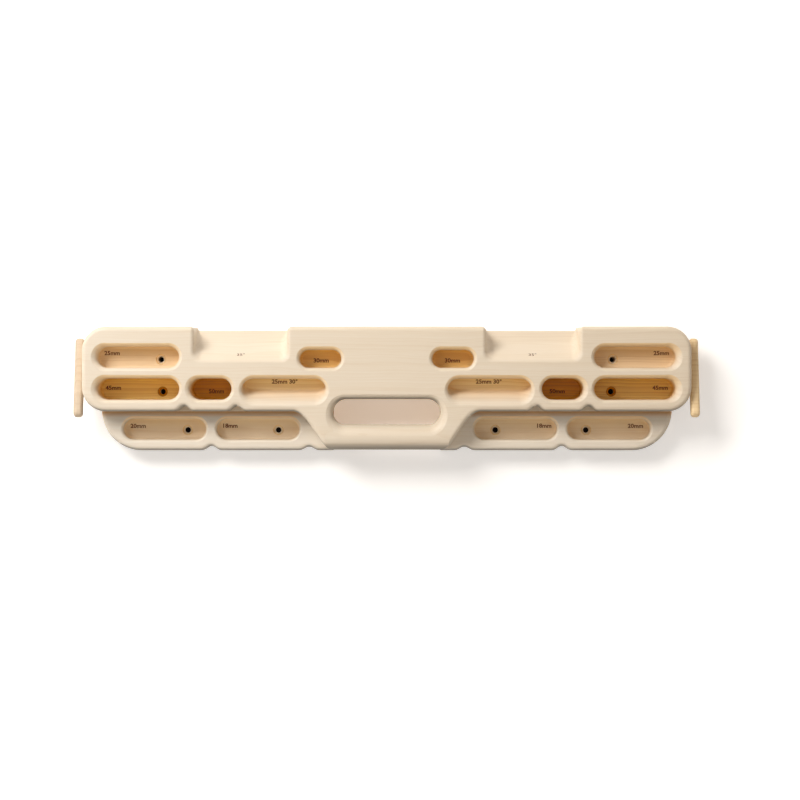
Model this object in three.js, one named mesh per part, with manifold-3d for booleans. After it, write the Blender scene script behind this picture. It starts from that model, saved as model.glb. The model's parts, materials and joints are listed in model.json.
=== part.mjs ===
// Hangboard: a wooden board on a wall for training a climber's fingers.
// Staves are glued edge to edge into a front and a back layer, the two layers are glued face to
// face, and the block is routed with finger pockets, two slopers and a bar grip. A wooden cleat
// for a stretch band is screwed to each end.
// Millimetres, +Z up. The origin is the middle of the back face, which lies on the wall.
// +X is to the right of someone facing the board, and -Y points out of the wall.

import * as THREE from 'three';
import { mergeVertices } from 'three/addons/utils/BufferGeometryUtils.js';
import Module from 'manifold-3d';

const wasm = await Module();
wasm.setup();

// Thickness of the two layers
const backThickness = 28;
const frontThickness = 30;

// Finger pockets: opening, wall between neighbours and depth
const fourFingerWidth = 96.2;
const twoFingerWidth = 48;
const pocketHeight = 24.6;
const smallPocketHeight = 20.8;
const pocketGap = 12;
const upperPocketDepth = 25;
const middlePocketDepth = 45;
const deepPocketDepth = 50;
const smallPocketDepth = 30;
const outerLowerDepth = 20;
const innerLowerDepth = 18;
const mouthRadius = 5.5;
const lowerMouthRadius = 4;
const floorRadius = 3;

// Slanted pocket, whose lower side falls towards the front
const slantAngle = 30;
const slantedDepth = 25;
const slantedBackHeight = 13.2;

// Rows of pockets from the top edge down
const topMargin = 22.8;
const rowGap = 12;
const tierFoot = 13.5;
const lowerTopMargin = 8.2;
const bottomMargin = 12.5;

// Columns of pockets from the middle out
const centreBlockWidth = 140;
const endMargin = 15.6;
const sloperOuterWall = 17.2;
const sloperInnerWall = 14.2;
const lowerEndMargin = 25.4;

// Outline of the tiers
const cornerRadius = 28;
const tierInset = 19;
const lowerEndRadius = 47;
const frontEdgeRadius = 5.5;
const scallopRise = 6;
const lowerScallopRise = 5;
const innerScallopRise = 4;
const scallopWidth = 25.2;
const innerScallopFromHole = 28;

// Sloper: a slope that ends in a narrow land against the wall
const sloperWidth = 106.6;
const sloperAngle = 35;
const sloperLandDrop = 3.4;
const sloperLandDepth = 6.6;
const sloperLipRadius = 5;
const sloperInnerRadius = 10;
const sloperShoulderRadius = 6;

// Bar grip and the hole above it
const holeWidth = 124;
const holeHeight = 29.3;
const barHeight = 30;
const barFrontRadius = 14;
const barBackRadius = 10;
const shoulderWidth = 46;

// Holes for the screws that hold the board on the wall
const wallScrewDiameter = 6.5;
const wallScrewSinkDiameter = 12;
const outerScrewFromPocketEnd = 23;
const upperScrewFromPocketTop = 14.7;
const middleScrewFromPocketTop = 15.2;
const lowerScrewFromPocketTop = 13.7;
const innerLowerScrewFromPocketEnd = 25.3;

// Band cleats and their screws
const cleatThickness = 10.5;
const cleatUpperArm = 14.9;
const cleatLowerArm = 45.3;
const cleatBarDepth = 13;
const cleatBarEndFlat = 1;
const cleatBarSetback = 18.7;
const cleatBarTilt = 12.5;
const cleatEdgeRadius = 3;
const cleatCrookRadius = 5;
const cleatStemRadius = 6;
const cleatWallGap = 4;
const stemMargin = 9;
const cleatScrewFromPocket = 7;
const cleatScrewSpacing = 14;
const cleatScrewFromWall = 16;
const screwLength = 40;
const screwDiameter = 4;
const screwHeadDiameter = 8;
const screwHeadHeight = 2.6;
const screwTipLength = 6;
const screwSocketWidth = 3;
const screwSocketDepth = 1.6;
const screwClearance = 0.3;

// Cuts run this far past the faces that they open
const overrun = 12;

// Places nearer to each other than this are the same
const hair = 0.001;

// Steps on round shapes
const turnSteps = 24;
const holeSteps = 12;
const filletSteps = 3;
const floorSteps = 2;
const outlineSteps = 4;
const socketSides = 6;

// Shares of a scallop's half width and of the shoulder curve's width, for their control points
const scallopFootShare = 0.5;
const scallopPeakShare = 0.4;
const shoulderFootShare = 0.33;
const shoulderTopShare = 0.42;
const sloperLipShares = [0.1, 0.25, 0.6];

// How fast the hole's rounding grows round its ends towards the bar
const barBlendPower = 2.5;

const radians = THREE.MathUtils.degToRad;

// Heights, from the top edge down, with zero at the middle
const rowsHeight = 3 * pocketHeight + rowGap;
const boardHeight = topMargin + rowsHeight + tierFoot + lowerTopMargin + bottomMargin;
const boardTop = boardHeight / 2;
const boardBottom = -boardHeight / 2;
const upperRowTop = boardTop - topMargin;
const upperRowBottom = upperRowTop - pocketHeight;
const middleRowTop = upperRowBottom - rowGap;
const middleRowBottom = middleRowTop - pocketHeight;
const tierBottom = middleRowBottom - tierFoot;
const lowerRowTop = tierBottom - lowerTopMargin;
const holeBottom = boardBottom + barHeight;
const holeTop = holeBottom + holeHeight;

// Distances from the middle, from the slanted pocket out
const holeEnd = holeWidth / 2;
const shoulderEnd = holeEnd + shoulderWidth;
const slantedStart = centreBlockWidth / 2;
const slantedEnd = slantedStart + fourFingerWidth;
const deepStart = slantedEnd + pocketGap;
const deepEnd = deepStart + twoFingerWidth;
const outerStart = deepEnd + pocketGap;
const outerEnd = outerStart + fourFingerWidth;
const boardEnd = outerEnd + endMargin;
const sloperEnd = outerStart - sloperOuterWall;
const sloperStart = sloperEnd - sloperWidth;
const smallEnd = sloperStart - sloperInnerWall;
const smallStart = smallEnd - twoFingerWidth;
const lowerTierEnd = boardEnd - tierInset;
const outerLowerEnd = lowerTierEnd - lowerEndMargin;
const outerLowerStart = outerLowerEnd - fourFingerWidth;
const innerLowerEnd = outerLowerStart - pocketGap;
const innerLowerStart = innerLowerEnd - fourFingerWidth;

// Distances out from the wall
const layerJoint = backThickness;
const frontFace = backThickness + frontThickness;

// Sloper, measured back from the front face
const sloperRise = Math.tan(radians(sloperAngle));
const sloperLandStart = frontFace - sloperLandDepth;
const sloperLip = boardTop - sloperLandDrop - sloperLandStart * sloperRise;
const sloperTurn = radians(90 - sloperAngle);
const sloperRoundDepth = sloperLipRadius * (1 - Math.cos(sloperTurn));
const sloperRoundDrop = sloperLipRadius * Math.tan(sloperTurn / 2);
const sloperSideRadii = sloperInnerRadius + sloperShoulderRadius;

// Heights of the wall screws
const upperScrewHeight = upperRowTop - upperScrewFromPocketTop;
const middleScrewHeight = middleRowTop - middleScrewFromPocketTop;
const lowerScrewHeight = lowerRowTop - lowerScrewFromPocketTop;

// Glue joints between the staves. None of them crosses a countersink.
const sinkRadius = wallScrewSinkDiameter / 2;
const smallPocketTop = upperRowBottom + smallPocketHeight;
const backTopJoint = (smallPocketTop + sloperLip + frontThickness * sloperRise) / 2;
const middleJoint = (upperRowBottom + middleRowTop) / 2;
const frontBarJoint = lowerRowTop;
const backLowerJoint = tierBottom;

// Shapes are drawn as seen from the front: x to the right, y up, and z out of the wall.
// The last step turns y to z and z to -y, which gives the part's own axes. The same turn brings a
// lathe's axis from y to z, so that its shape is turned about a line out of the wall.
const yToZ = new THREE.Matrix4().makeBasis(
  new THREE.Vector3(1, 0, 0),
  new THREE.Vector3(0, 0, 1),
  new THREE.Vector3(0, -1, 0),
);

// Turns a shape drawn as (up, out) and extruded along its own z, so that it runs along x
const sideways = new THREE.Matrix4().makeBasis(
  new THREE.Vector3(0, 1, 0),
  new THREE.Vector3(0, 0, 1),
  new THREE.Vector3(1, 0, 0),
);

// Makes a closed geometry into a solid that can be joined and cut
function solid(geometry) {
  const bare = geometry.clone();
  bare.deleteAttribute('normal');
  bare.deleteAttribute('uv');
  const merged = mergeVertices(bare);
  const corners = [];
  for (let i = 0; i < merged.index.count; i += 3) {
    const [a, b, c] = [0, 1, 2].map((step) => merged.index.getX(i + step));
    if (a !== b && b !== c && c !== a) corners.push(a, b, c);
  }
  return new wasm.Manifold(new wasm.Mesh({
    numProp: 3,
    vertProperties: new Float32Array(merged.attributes.position.array),
    triVerts: new Uint32Array(corners),
  }));
}

function join(solids) {
  return solids.reduce((whole, next) => whole.add(next));
}

// Moves every corner of a geometry by a rule
function reshape(geometry, rule) {
  const { position } = geometry.attributes;
  for (let i = 0; i < position.count; i += 1) {
    const [x, y, z] = rule(position.getX(i), position.getY(i), position.getZ(i));
    position.setXYZ(i, x, y, z);
  }
  return geometry;
}

function extrude(shape, from, to) {
  const geometry = new THREE.ExtrudeGeometry(shape, {
    depth: to - from,
    bevelEnabled: false,
    curveSegments: outlineSteps,
  });
  return geometry.translate(0, 0, from);
}

// An extrusion whose outer edges are rounded at both ends
function extrudeRounded(shape, from, to, radius) {
  const geometry = new THREE.ExtrudeGeometry(shape, {
    depth: to - from - 2 * radius,
    bevelThickness: radius,
    bevelSize: radius,
    bevelOffset: -radius,
    bevelSegments: filletSteps,
    curveSegments: outlineSteps,
  });
  return geometry.translate(0, 0, from + radius);
}

// A box between two heights, wide and deep enough to hold the whole board
function slab(bottom, top) {
  const width = 2 * (boardEnd + overrun);
  const depth = frontFace + 2 * overrun;
  const box = new THREE.BoxGeometry(width, top - bottom, depth);
  return solid(box.translate(0, (bottom + top) / 2, frontFace / 2));
}

// A box between two distances from the wall
function sheet(from, to) {
  const width = 2 * (boardEnd + overrun);
  const height = boardHeight + 2 * overrun;
  const box = new THREE.BoxGeometry(width, height, to - from);
  return solid(box.translate(0, 0, (from + to) / 2));
}

// The whole outline from its right half, which runs from the top to the bottom
function mirroredShape(half) {
  const right = half.getPoints(outlineSteps);
  const left = right.map((point) => new THREE.Vector2(-point.x, point.y)).reverse();
  return new THREE.Shape([...right, ...left]);
}

// A notch in a bottom edge that is walked towards the middle, with a smooth peak
function addScallop(path, centre, edge, rise) {
  const half = scallopWidth / 2;
  const foot = half * (1 - scallopFootShare);
  const peak = half * scallopPeakShare;
  path.lineTo(centre + half, edge);
  path.bezierCurveTo(centre + foot, edge, centre + peak, edge + rise, centre, edge + rise);
  path.bezierCurveTo(centre - peak, edge + rise, centre - foot, edge, centre - half, edge);
}

// Outline
// The upper tier's right half, down to its lower outer corner
function upperTierStart() {
  const path = new THREE.Path();
  const inner = boardEnd - cornerRadius;
  path.moveTo(inner, boardTop);
  path.absarc(inner, boardTop - cornerRadius, cornerRadius, Math.PI / 2, 0, true);
  path.absarc(inner, tierBottom + cornerRadius, cornerRadius, 0, -Math.PI / 2, true);
  return path;
}

// The front layer: the upper tier with its scallops, and the shoulders down to the bar
function frontOutline() {
  const path = upperTierStart();
  addScallop(path, (deepEnd + outerStart) / 2, tierBottom, scallopRise);
  addScallop(path, (slantedEnd + deepStart) / 2, tierBottom, scallopRise);
  path.lineTo(shoulderEnd, tierBottom);
  const upperHandle = shoulderEnd - shoulderWidth * shoulderTopShare;
  const lowerHandle = holeEnd + shoulderWidth * shoulderFootShare;
  path.bezierCurveTo(upperHandle, tierBottom, lowerHandle, boardBottom, holeEnd, boardBottom);
  return mirroredShape(path);
}

// The lower tier, drawn a little higher than the joint that it is cut at
function lowerTierOutline() {
  const path = new THREE.Path();
  const endCentre = lowerTierEnd - lowerEndRadius;
  const endHeight = boardBottom + lowerEndRadius;
  path.moveTo(lowerTierEnd, Math.max(tierBottom, endHeight) + overrun);
  path.lineTo(lowerTierEnd, endHeight);
  path.absarc(endCentre, endHeight, lowerEndRadius, 0, -Math.PI / 2, true);
  addScallop(path, (innerLowerEnd + outerLowerStart) / 2, boardBottom, lowerScallopRise);
  addScallop(path, holeEnd + innerScallopFromHole, boardBottom, innerScallopRise);
  return mirroredShape(path);
}

// Pockets
// The profile of a pocket cutter, from its floor to in front of the face, about its own middle
function pocketProfile(radius, floor, face, mouth) {
  const profile = [new THREE.Vector2(0, floor)];
  for (let i = 0; i <= floorSteps; i += 1) {
    const angle = (Math.PI / 2) * (i / floorSteps);
    const across = radius - floorRadius * (1 - Math.sin(angle));
    profile.push(new THREE.Vector2(across, floor + floorRadius * (1 - Math.cos(angle))));
  }
  for (let i = 0; i <= filletSteps; i += 1) {
    const angle = (Math.PI / 2) * (i / filletSteps);
    const across = radius + mouth * (1 - Math.cos(angle));
    profile.push(new THREE.Vector2(across, face - mouth * (1 - Math.sin(angle))));
  }
  profile.push(new THREE.Vector2(radius + mouth, face + overrun));
  profile.push(new THREE.Vector2(0, face + overrun));
  return profile;
}

// A turned shape about z, with a flat at the top and at the bottom
function turned(profile) {
  return new THREE.LatheGeometry(profile, turnSteps, Math.PI / turnSteps).applyMatrix4(yToZ);
}

// A turned shape whose halves are pulled apart along x, which gives it straight sides
function pulledApart(geometry, length) {
  // The two flats become the straight sides, so they are brought out to the radius
  const bringOut = 1 / Math.cos(Math.PI / turnSteps);
  return reshape(geometry, (x, y, z) => {
    const side = Math.abs(x) > hair ? Math.sign(x) : 0;
    return [x + side * (length / 2), y * bringOut, z];
  });
}

function pocketCutter({ start, end, top, height, depth, face, mouth }) {
  const profile = pocketProfile(height / 2, face - depth, face, mouth);
  const cutter = pulledApart(turned(profile), end - start - height);
  return cutter.translate((start + end) / 2, top - height / 2, 0);
}

// The slanted pocket is a straight one whose lower side closes in towards the floor
function slantedCutter() {
  const drop = slantedDepth * Math.tan(radians(slantAngle));
  const frontHeight = slantedBackHeight + drop;
  const straight = pocketCutter({
    start: slantedStart,
    end: slantedEnd,
    top: middleRowTop,
    height: frontHeight,
    depth: slantedDepth,
    face: frontFace,
    mouth: mouthRadius,
  });
  return reshape(straight, (x, y, z) => {
    const depth = Math.max(frontFace - z, 0);
    const share = 1 - ((depth / slantedDepth) * drop) / frontHeight;
    return [x, middleRowTop - (middleRowTop - y) * share, z];
  });
}

// A countersunk through hole from a pocket's floor to the wall
function screwHoleCutter(x, y, floor) {
  const hole = wallScrewDiameter / 2;
  const profile = [
    new THREE.Vector2(0, -overrun),
    new THREE.Vector2(hole, -overrun),
    new THREE.Vector2(hole, floor - (sinkRadius - hole)),
    new THREE.Vector2(sinkRadius, floor),
    new THREE.Vector2(sinkRadius, floor + floorRadius),
    new THREE.Vector2(0, floor + floorRadius),
  ];
  const geometry = new THREE.LatheGeometry(profile, holeSteps);
  return geometry.applyMatrix4(yToZ).translate(x, y, 0);
}

// The pockets on the right of the middle
const rightPockets = [
  {
    start: outerStart,
    end: outerEnd,
    top: upperRowTop,
    height: pocketHeight,
    depth: upperPocketDepth,
    face: frontFace,
    mouth: mouthRadius,
  },
  {
    start: outerStart,
    end: outerEnd,
    top: middleRowTop,
    height: pocketHeight,
    depth: middlePocketDepth,
    face: frontFace,
    mouth: mouthRadius,
  },
  {
    start: deepStart,
    end: deepEnd,
    top: middleRowTop,
    height: pocketHeight,
    depth: deepPocketDepth,
    face: frontFace,
    mouth: mouthRadius,
  },
  {
    start: smallStart,
    end: smallEnd,
    top: smallPocketTop,
    height: smallPocketHeight,
    depth: smallPocketDepth,
    face: frontFace,
    mouth: mouthRadius,
  },
  {
    start: outerLowerStart,
    end: outerLowerEnd,
    top: lowerRowTop,
    height: pocketHeight,
    depth: outerLowerDepth,
    face: layerJoint,
    mouth: lowerMouthRadius,
  },
  {
    start: innerLowerStart,
    end: innerLowerEnd,
    top: lowerRowTop,
    height: pocketHeight,
    depth: innerLowerDepth,
    face: layerJoint,
    mouth: lowerMouthRadius,
  },
];

// The wall screw holes on the right: one in each pocket that has four fingers and a flat floor
const outerScrew = outerStart + outerScrewFromPocketEnd;
const rightScrewHoles = [
  [outerScrew, upperScrewHeight, frontFace - upperPocketDepth],
  [outerScrew, middleScrewHeight, frontFace - middlePocketDepth],
  [outerLowerStart + outerScrewFromPocketEnd, lowerScrewHeight, layerJoint - outerLowerDepth],
  [innerLowerStart + innerLowerScrewFromPocketEnd, lowerScrewHeight, layerJoint - innerLowerDepth],
];

// Slopers
// How far the lip's rounding stands below the slope at a distance back from the front face
function lipDrop(back) {
  if (back >= sloperRoundDepth) return 0;
  const inside = sloperLipRadius - Math.max(back, 0);
  const arc = Math.sqrt(sloperLipRadius ** 2 - inside ** 2);
  return sloperRoundDrop + Math.max(back, 0) * sloperRise - arc;
}

// How far the rounding at the sides stands out at a distance back from the front face
function sideSpread(back) {
  if (back >= sloperLipRadius) return 0;
  const inside = sloperLipRadius - Math.max(back, 0);
  return sloperLipRadius - Math.sqrt(sloperLipRadius ** 2 - inside ** 2);
}

function sloperFloor(back) {
  return sloperLip + THREE.MathUtils.clamp(back, 0, sloperLandStart) * sloperRise;
}

// The side's inner and outer rounding shrink where the wall is lower than both
function sideScale(back) {
  return Math.min(1, (boardTop - sloperFloor(back)) / sloperSideRadii);
}

// Distances back from the front face at which the sloper's section changes, deepest first
const sideScaleStart = (boardTop - sloperSideRadii - sloperLip) / sloperRise;
const sloperStations = [
  frontFace + overrun,
  sloperLandStart,
  Math.min(Math.max(sideScaleStart, sloperLipRadius * 2), sloperLandStart - sloperLipRadius),
  sloperLipRadius,
  ...sloperLipShares.map((share) => share * sloperLipRadius).reverse(),
  sloperRoundDepth,
  0,
  -overrun,
].sort((a, b) => b - a);

// Runs a front view outline through the stations, with a rule that shapes each section
function throughStations(shape, rule) {
  const steps = sloperStations.length - 1;
  const options = { depth: steps, steps, bevelEnabled: false, curveSegments: outlineSteps };
  const geometry = new THREE.ExtrudeGeometry(shape, options);
  return reshape(geometry, (x, y, z) => {
    const back = sloperStations[Math.round(z)];
    const [newX, newY] = rule(x, y, back);
    return [newX, newY, frontFace - back];
  });
}

// The recess: a section with round lower corners that climbs along the slope
function recessCutter() {
  const half = sloperWidth / 2;
  const radius = sloperInnerRadius;
  const top = boardTop + overrun;
  const shape = new THREE.Shape();
  shape.moveTo(-half, top);
  shape.lineTo(-half, radius);
  shape.absarc(-half + radius, radius, radius, Math.PI, 1.5 * Math.PI, false);
  shape.absarc(half - radius, radius, radius, -Math.PI / 2, 0, false);
  shape.lineTo(half, top);
  return throughStations(shape, (x, y, back) => {
    const side = Math.sign(x);
    const scale = sideScale(back);
    const across = half - (half - Math.abs(x)) * scale + sideSpread(back);
    const floor = sloperFloor(back) - lipDrop(back);
    const upper = y > radius + hair ? y : floor + y * scale;
    return [side * across, upper];
  });
}

// The rounding of the top edge on the right of the recess
function shoulderCutter() {
  const half = sloperWidth / 2;
  const radius = sloperShoulderRadius;
  const shape = new THREE.Shape();
  shape.moveTo(0, overrun);
  shape.lineTo(0, -radius);
  shape.absarc(radius, -radius, radius, Math.PI, Math.PI / 2, true);
  shape.lineTo(radius, overrun);
  return throughStations(shape, (x, y, back) => {
    const scale = sideScale(back);
    const upper = y > 0 ? boardTop + y : boardTop + y * scale;
    return [half + x * scale, upper];
  });
}

// A copy mirrored to the other side of the middle, with its faces turned out again
function mirrored(geometry) {
  const copy = geometry.index ? geometry.toNonIndexed() : geometry.clone();
  reshape(copy, (x, y, z) => [-x, y, z]);
  const { position } = copy.attributes;
  for (let i = 0; i < position.count; i += 3) {
    const first = new THREE.Vector3().fromBufferAttribute(position, i);
    const second = new THREE.Vector3().fromBufferAttribute(position, i + 1);
    position.setXYZ(i, second.x, second.y, second.z);
    position.setXYZ(i + 1, first.x, first.y, first.z);
  }
  return copy;
}

function sloperCutter() {
  const shoulder = shoulderCutter();
  const cutter = join([recessCutter(), shoulder, mirrored(shoulder)].map(solid));
  return cutter.translate([(sloperStart + sloperEnd) / 2, 0, 0]);
}

// Bar grip
// The hole's front edge is rounded as the pockets' at the top and as the bar's at the bottom
function holeCutter() {
  const radius = holeHeight / 2;
  const profile = pocketProfile(radius, layerJoint - overrun, frontFace, mouthRadius);
  const widened = reshape(turned(profile), (x, y, z) => {
    const across = Math.hypot(x, y);
    if (across < hair || z < frontFace - mouthRadius - hair) return [x, y, z];
    const towardsBar = ((1 - y / across) / 2) ** barBlendPower;
    const rounding = mouthRadius + (barFrontRadius - mouthRadius) * towardsBar;
    const growth = rounding / mouthRadius;
    const out = radius + (across - radius) * growth;
    const depth = Math.max(frontFace - z, 0) * growth;
    return [(x * out) / across, (y * out) / across, z > frontFace ? z : frontFace - depth];
  });
  return pulledApart(widened, holeWidth - holeHeight).translate(0, holeTop - radius, 0);
}

// The notch behind the bar, which lets a hand close round it
function notchCutter() {
  const radius = holeHeight / 2;
  const shape = new THREE.Shape();
  shape.moveTo(holeEnd, boardBottom - overrun);
  shape.lineTo(holeEnd, holeTop - radius);
  shape.absarc(holeEnd - radius, holeTop - radius, radius, 0, Math.PI / 2, false);
  shape.absarc(radius - holeEnd, holeTop - radius, radius, Math.PI / 2, Math.PI, false);
  shape.lineTo(-holeEnd, boardBottom - overrun);
  return extrude(shape, -overrun, layerJoint);
}

// The rounding of one edge of the bar. The wood lies above the edge where up is 1 and below it
// where up is -1, and in front of the face where out is 1 and behind it where out is -1.
function barEdgeCutter({ edge, face, radius, up, out, end }) {
  const shape = new THREE.Shape();
  const centre = new THREE.Vector2(edge + up * radius, face + out * radius);
  const start = up > 0 ? Math.PI : 0;
  shape.moveTo(edge - up * overrun, centre.y);
  shape.lineTo(edge, centre.y);
  shape.absarc(centre.x, centre.y, radius, start, (-out * Math.PI) / 2, up !== out);
  shape.lineTo(centre.x, face - out * overrun);
  shape.lineTo(edge - up * overrun, face - out * overrun);
  return solid(extrude(shape, -end, end).applyMatrix4(sideways));
}

// Everything that is cut from both halves alike
function boardCutters() {
  const rightHalf = [
    ...rightPockets.map(pocketCutter),
    slantedCutter(),
    ...rightScrewHoles.map((place) => screwHoleCutter(...place)),
  ];
  const leftHalf = rightHalf.map(mirrored);
  const sloper = sloperCutter();
  const leftSloper = sloper.translate([-(sloperStart + sloperEnd), 0, 0]);
  const cleatScrewHoles = cleatScrewHeights.flatMap((y) => [-1, 1].map((side) => (
    screwSolid(side, y, screwClearance)
  )));
  return join([
    ...[...rightHalf, ...leftHalf].map(solid),
    sloper,
    leftSloper,
    solid(holeCutter()),
    ...cleatScrewHoles,
  ]);
}

// Cleats
const cleatFace = boardEnd + cleatThickness;
const lowerCleatScrew = middleRowTop + cleatScrewFromPocket;
const cleatScrewHeights = [lowerCleatScrew, lowerCleatScrew + cleatScrewSpacing];
const stemBottom = lowerCleatScrew - stemMargin;
const stemTop = lowerCleatScrew + cleatScrewSpacing + stemMargin;
const cleatBarEndRadius = (cleatBarDepth - cleatBarEndFlat) / 2;

// A closed outline through corners [up, out, radius], each rounded by its own radius
function roundedShape(corners) {
  const shape = new THREE.Shape();
  const count = corners.length;
  corners.forEach(([up, out, radius], i) => {
    const here = new THREE.Vector2(up, out);
    const towards = (j) => new THREE.Vector2(corners[j][0], corners[j][1]).sub(here);
    const start = towards((i + count - 1) % count).setLength(radius).add(here);
    const end = towards((i + 1) % count).setLength(radius).add(here);
    if (i === 0) shape.moveTo(start.x, start.y);
    else shape.lineTo(start.x, start.y);
    shape.quadraticCurveTo(here.x, here.y, end.x, end.y);
  });
  return shape;
}

// Seen from the side: a leaning bar in front, on a stem that reaches back along the board's end.
// The setback is measured to the bar's front at the stem's middle height.
function cleatOutline() {
  const along = new THREE.Vector2(Math.cos(radians(cleatBarTilt)), -Math.sin(radians(cleatBarTilt)));
  const back = new THREE.Vector2(along.y, -along.x);
  const middle = new THREE.Vector2((stemBottom + stemTop) / 2, frontFace - cleatBarSetback);
  const corner = (lengthwise, backwards, radius) => {
    const point = middle.clone().addScaledVector(along, lengthwise).addScaledVector(back, backwards);
    return [point.x, point.y, radius];
  };
  const rear = corner(0, cleatBarDepth, 0)[0];
  const upperCrook = (stemTop - rear) / along.x;
  const lowerCrook = (stemBottom - rear) / along.x;
  const barTop = upperCrook + cleatUpperArm;
  const barBottom = lowerCrook - cleatLowerArm;
  return roundedShape([
    corner(barBottom, 0, cleatBarEndRadius),
    corner(barTop, 0, cleatBarEndRadius),
    corner(barTop, cleatBarDepth, cleatBarEndRadius),
    corner(upperCrook, cleatBarDepth, cleatCrookRadius),
    [stemTop, cleatWallGap, cleatStemRadius],
    [stemBottom, cleatWallGap, cleatStemRadius],
    corner(lowerCrook, cleatBarDepth, cleatCrookRadius),
    corner(barBottom, cleatBarDepth, cleatBarEndRadius),
  ]);
}

// A countersunk wood screw along x, drawn larger by a clearance where it is a cutter
function screwSolid(side, y, clearance) {
  const shank = screwDiameter / 2 + clearance;
  const head = screwHeadDiameter / 2 + clearance;
  const tip = -screwLength - clearance;
  const front = clearance > 0 ? overrun : 0;
  const profile = [
    new THREE.Vector2(0, tip),
    new THREE.Vector2(shank, tip + screwTipLength),
    new THREE.Vector2(shank, -screwHeadHeight),
    new THREE.Vector2(head, 0),
    new THREE.Vector2(head, front),
    new THREE.Vector2(0, front),
  ].filter((point, i, all) => i === 0 || !point.equals(all[i - 1]));
  const geometry = new THREE.LatheGeometry(profile, holeSteps);
  geometry.rotateZ(side > 0 ? -Math.PI / 2 : Math.PI / 2);
  return solid(geometry.translate(side * cleatFace, y, cleatScrewFromWall));
}

// The six-sided socket in a screw's head
function socketCutter(side, y) {
  const geometry = new THREE.CylinderGeometry(
    screwSocketWidth / 2,
    screwSocketWidth / 2,
    2 * screwSocketDepth,
    socketSides,
  );
  geometry.rotateZ(Math.PI / 2);
  return solid(geometry.translate(side * cleatFace, y, cleatScrewFromWall));
}

// Pieces
const cutters = boardCutters();

function layer(shape, from, to) {
  const block = solid(extrudeRounded(shape, from - overrun, to, frontEdgeRadius));
  return block.intersect(sheet(from, to)).subtract(cutters);
}

const barBack = { face: layerJoint, radius: barBackRadius, out: 1, end: holeEnd };
const barFront = { face: frontFace, radius: barFrontRadius, out: -1, end: shoulderEnd };
const barEdges = join([
  barEdgeCutter({ ...barBack, edge: holeBottom, up: -1 }),
  barEdgeCutter({ ...barBack, edge: boardBottom, up: 1 }),
  barEdgeCutter({ ...barFront, edge: boardBottom, up: 1 }),
]);
const frontLayer = layer(frontOutline(), layerJoint, frontFace).subtract(barEdges);
const notch = solid(notchCutter());
const upperPath = upperTierStart();
const upperBack = solid(extrude(mirroredShape(upperPath), 0, layerJoint)).subtract(cutters).subtract(notch);
const lowerBack = layer(lowerTierOutline(), 0, layerJoint).subtract(notch);

// The half of a solid on one side of the middle
function half(whole, side) {
  const size = 2 * (boardEnd + overrun);
  const box = new THREE.BoxGeometry(size, size, size).translate((side * size) / 2, 0, 0);
  return whole.intersect(solid(box));
}

// Below the upper row, the back layer is made of shorter staves that meet or end near the middle
const above = boardTop + overrun;
const below = boardBottom - overrun;
const middleBackCut = upperBack.intersect(slab(backLowerJoint, middleJoint));
const lowerBackCut = lowerBack.intersect(slab(below, backLowerJoint));

function cleat(side) {
  const inner = side > 0 ? boardEnd : -cleatFace;
  const outer = side > 0 ? cleatFace : -boardEnd;
  const body = extrudeRounded(cleatOutline(), inner, outer, cleatEdgeRadius);
  const holes = cleatScrewHeights.map((y) => screwSolid(side, y, screwClearance));
  return solid(body.applyMatrix4(sideways)).subtract(join(holes));
}

function screw(side, y) {
  return screwSolid(side, y, 0).subtract(socketCutter(side, y));
}

const wood = (color) => new THREE.MeshStandardMaterial({ color, roughness: 0.55, metalness: 0 });
const steel = () => new THREE.MeshStandardMaterial({ color: 0xb9bcc0, roughness: 0.35, metalness: 1 });

const hangboard = new THREE.Group();
hangboard.name = 'hangboard';

function addPiece(name, whole, material) {
  const { vertProperties, triVerts } = whole.getMesh();
  const geometry = new THREE.BufferGeometry();
  geometry.setAttribute('position', new THREE.BufferAttribute(vertProperties, 3));
  geometry.setIndex(new THREE.BufferAttribute(triVerts, 1));
  geometry.applyMatrix4(yToZ);
  geometry.computeVertexNormals();
  const mesh = new THREE.Mesh(geometry, material);
  mesh.name = name;
  hangboard.add(mesh);
}

// The staves that each layer is glued up from: name, layer, lower joint, upper joint and colour
const staves = [
  ['front_top_stave', frontLayer, middleJoint, above, 0xeedcc2],
  ['front_middle_stave', frontLayer, frontBarJoint, middleJoint, 0xead7bb],
  ['front_bar_stave', frontLayer, below, frontBarJoint, 0xecdabf],
  ['back_top_stave', upperBack, backTopJoint, above, 0xe6d2b4],
  ['back_upper_stave', upperBack, middleJoint, backTopJoint, 0xe9d6ba],
];
staves.forEach(([name, whole, bottom, top, colour]) => {
  addPiece(name, whole.intersect(slab(bottom, top)), wood(colour));
});

[['left', -1], ['right', 1]].forEach(([name, side]) => {
  addPiece(`back_middle_stave_${name}`, half(middleBackCut, side), wood(0xe8d4b7));
  addPiece(`back_lower_stave_${name}`, half(lowerBackCut, side), wood(0xe5d0b1));
  addPiece(`band_cleat_${name}`, cleat(side), wood(0xe9d5b8));
  addPiece(`cleat_screw_lower_${name}`, screw(side, cleatScrewHeights[0]), steel());
  addPiece(`cleat_screw_upper_${name}`, screw(side, cleatScrewHeights[1]), steel());
});

export default hangboard;
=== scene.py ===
# %% [markdown]
# # A wooden hangboard
# A hangboard is screwed to a wall, and a climber trains the fingers on its pockets, its two
# sloping ledges and its bar. This one is glued up from staves of pale wood in two layers and
# routed to shape, and a wooden cleat for a stretch band is screwed to each end.
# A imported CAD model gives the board's real size. It is loaded first, and every piece made here
# is fitted to it, so the render and the model that a workshop would build agree.

# %% Load the CAD model
import json
import math
from collections import namedtuple

import bmesh
import bpy
from mathutils import Euler, Matrix, Vector
from mathutils.geometry import interpolate_bezier

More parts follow.
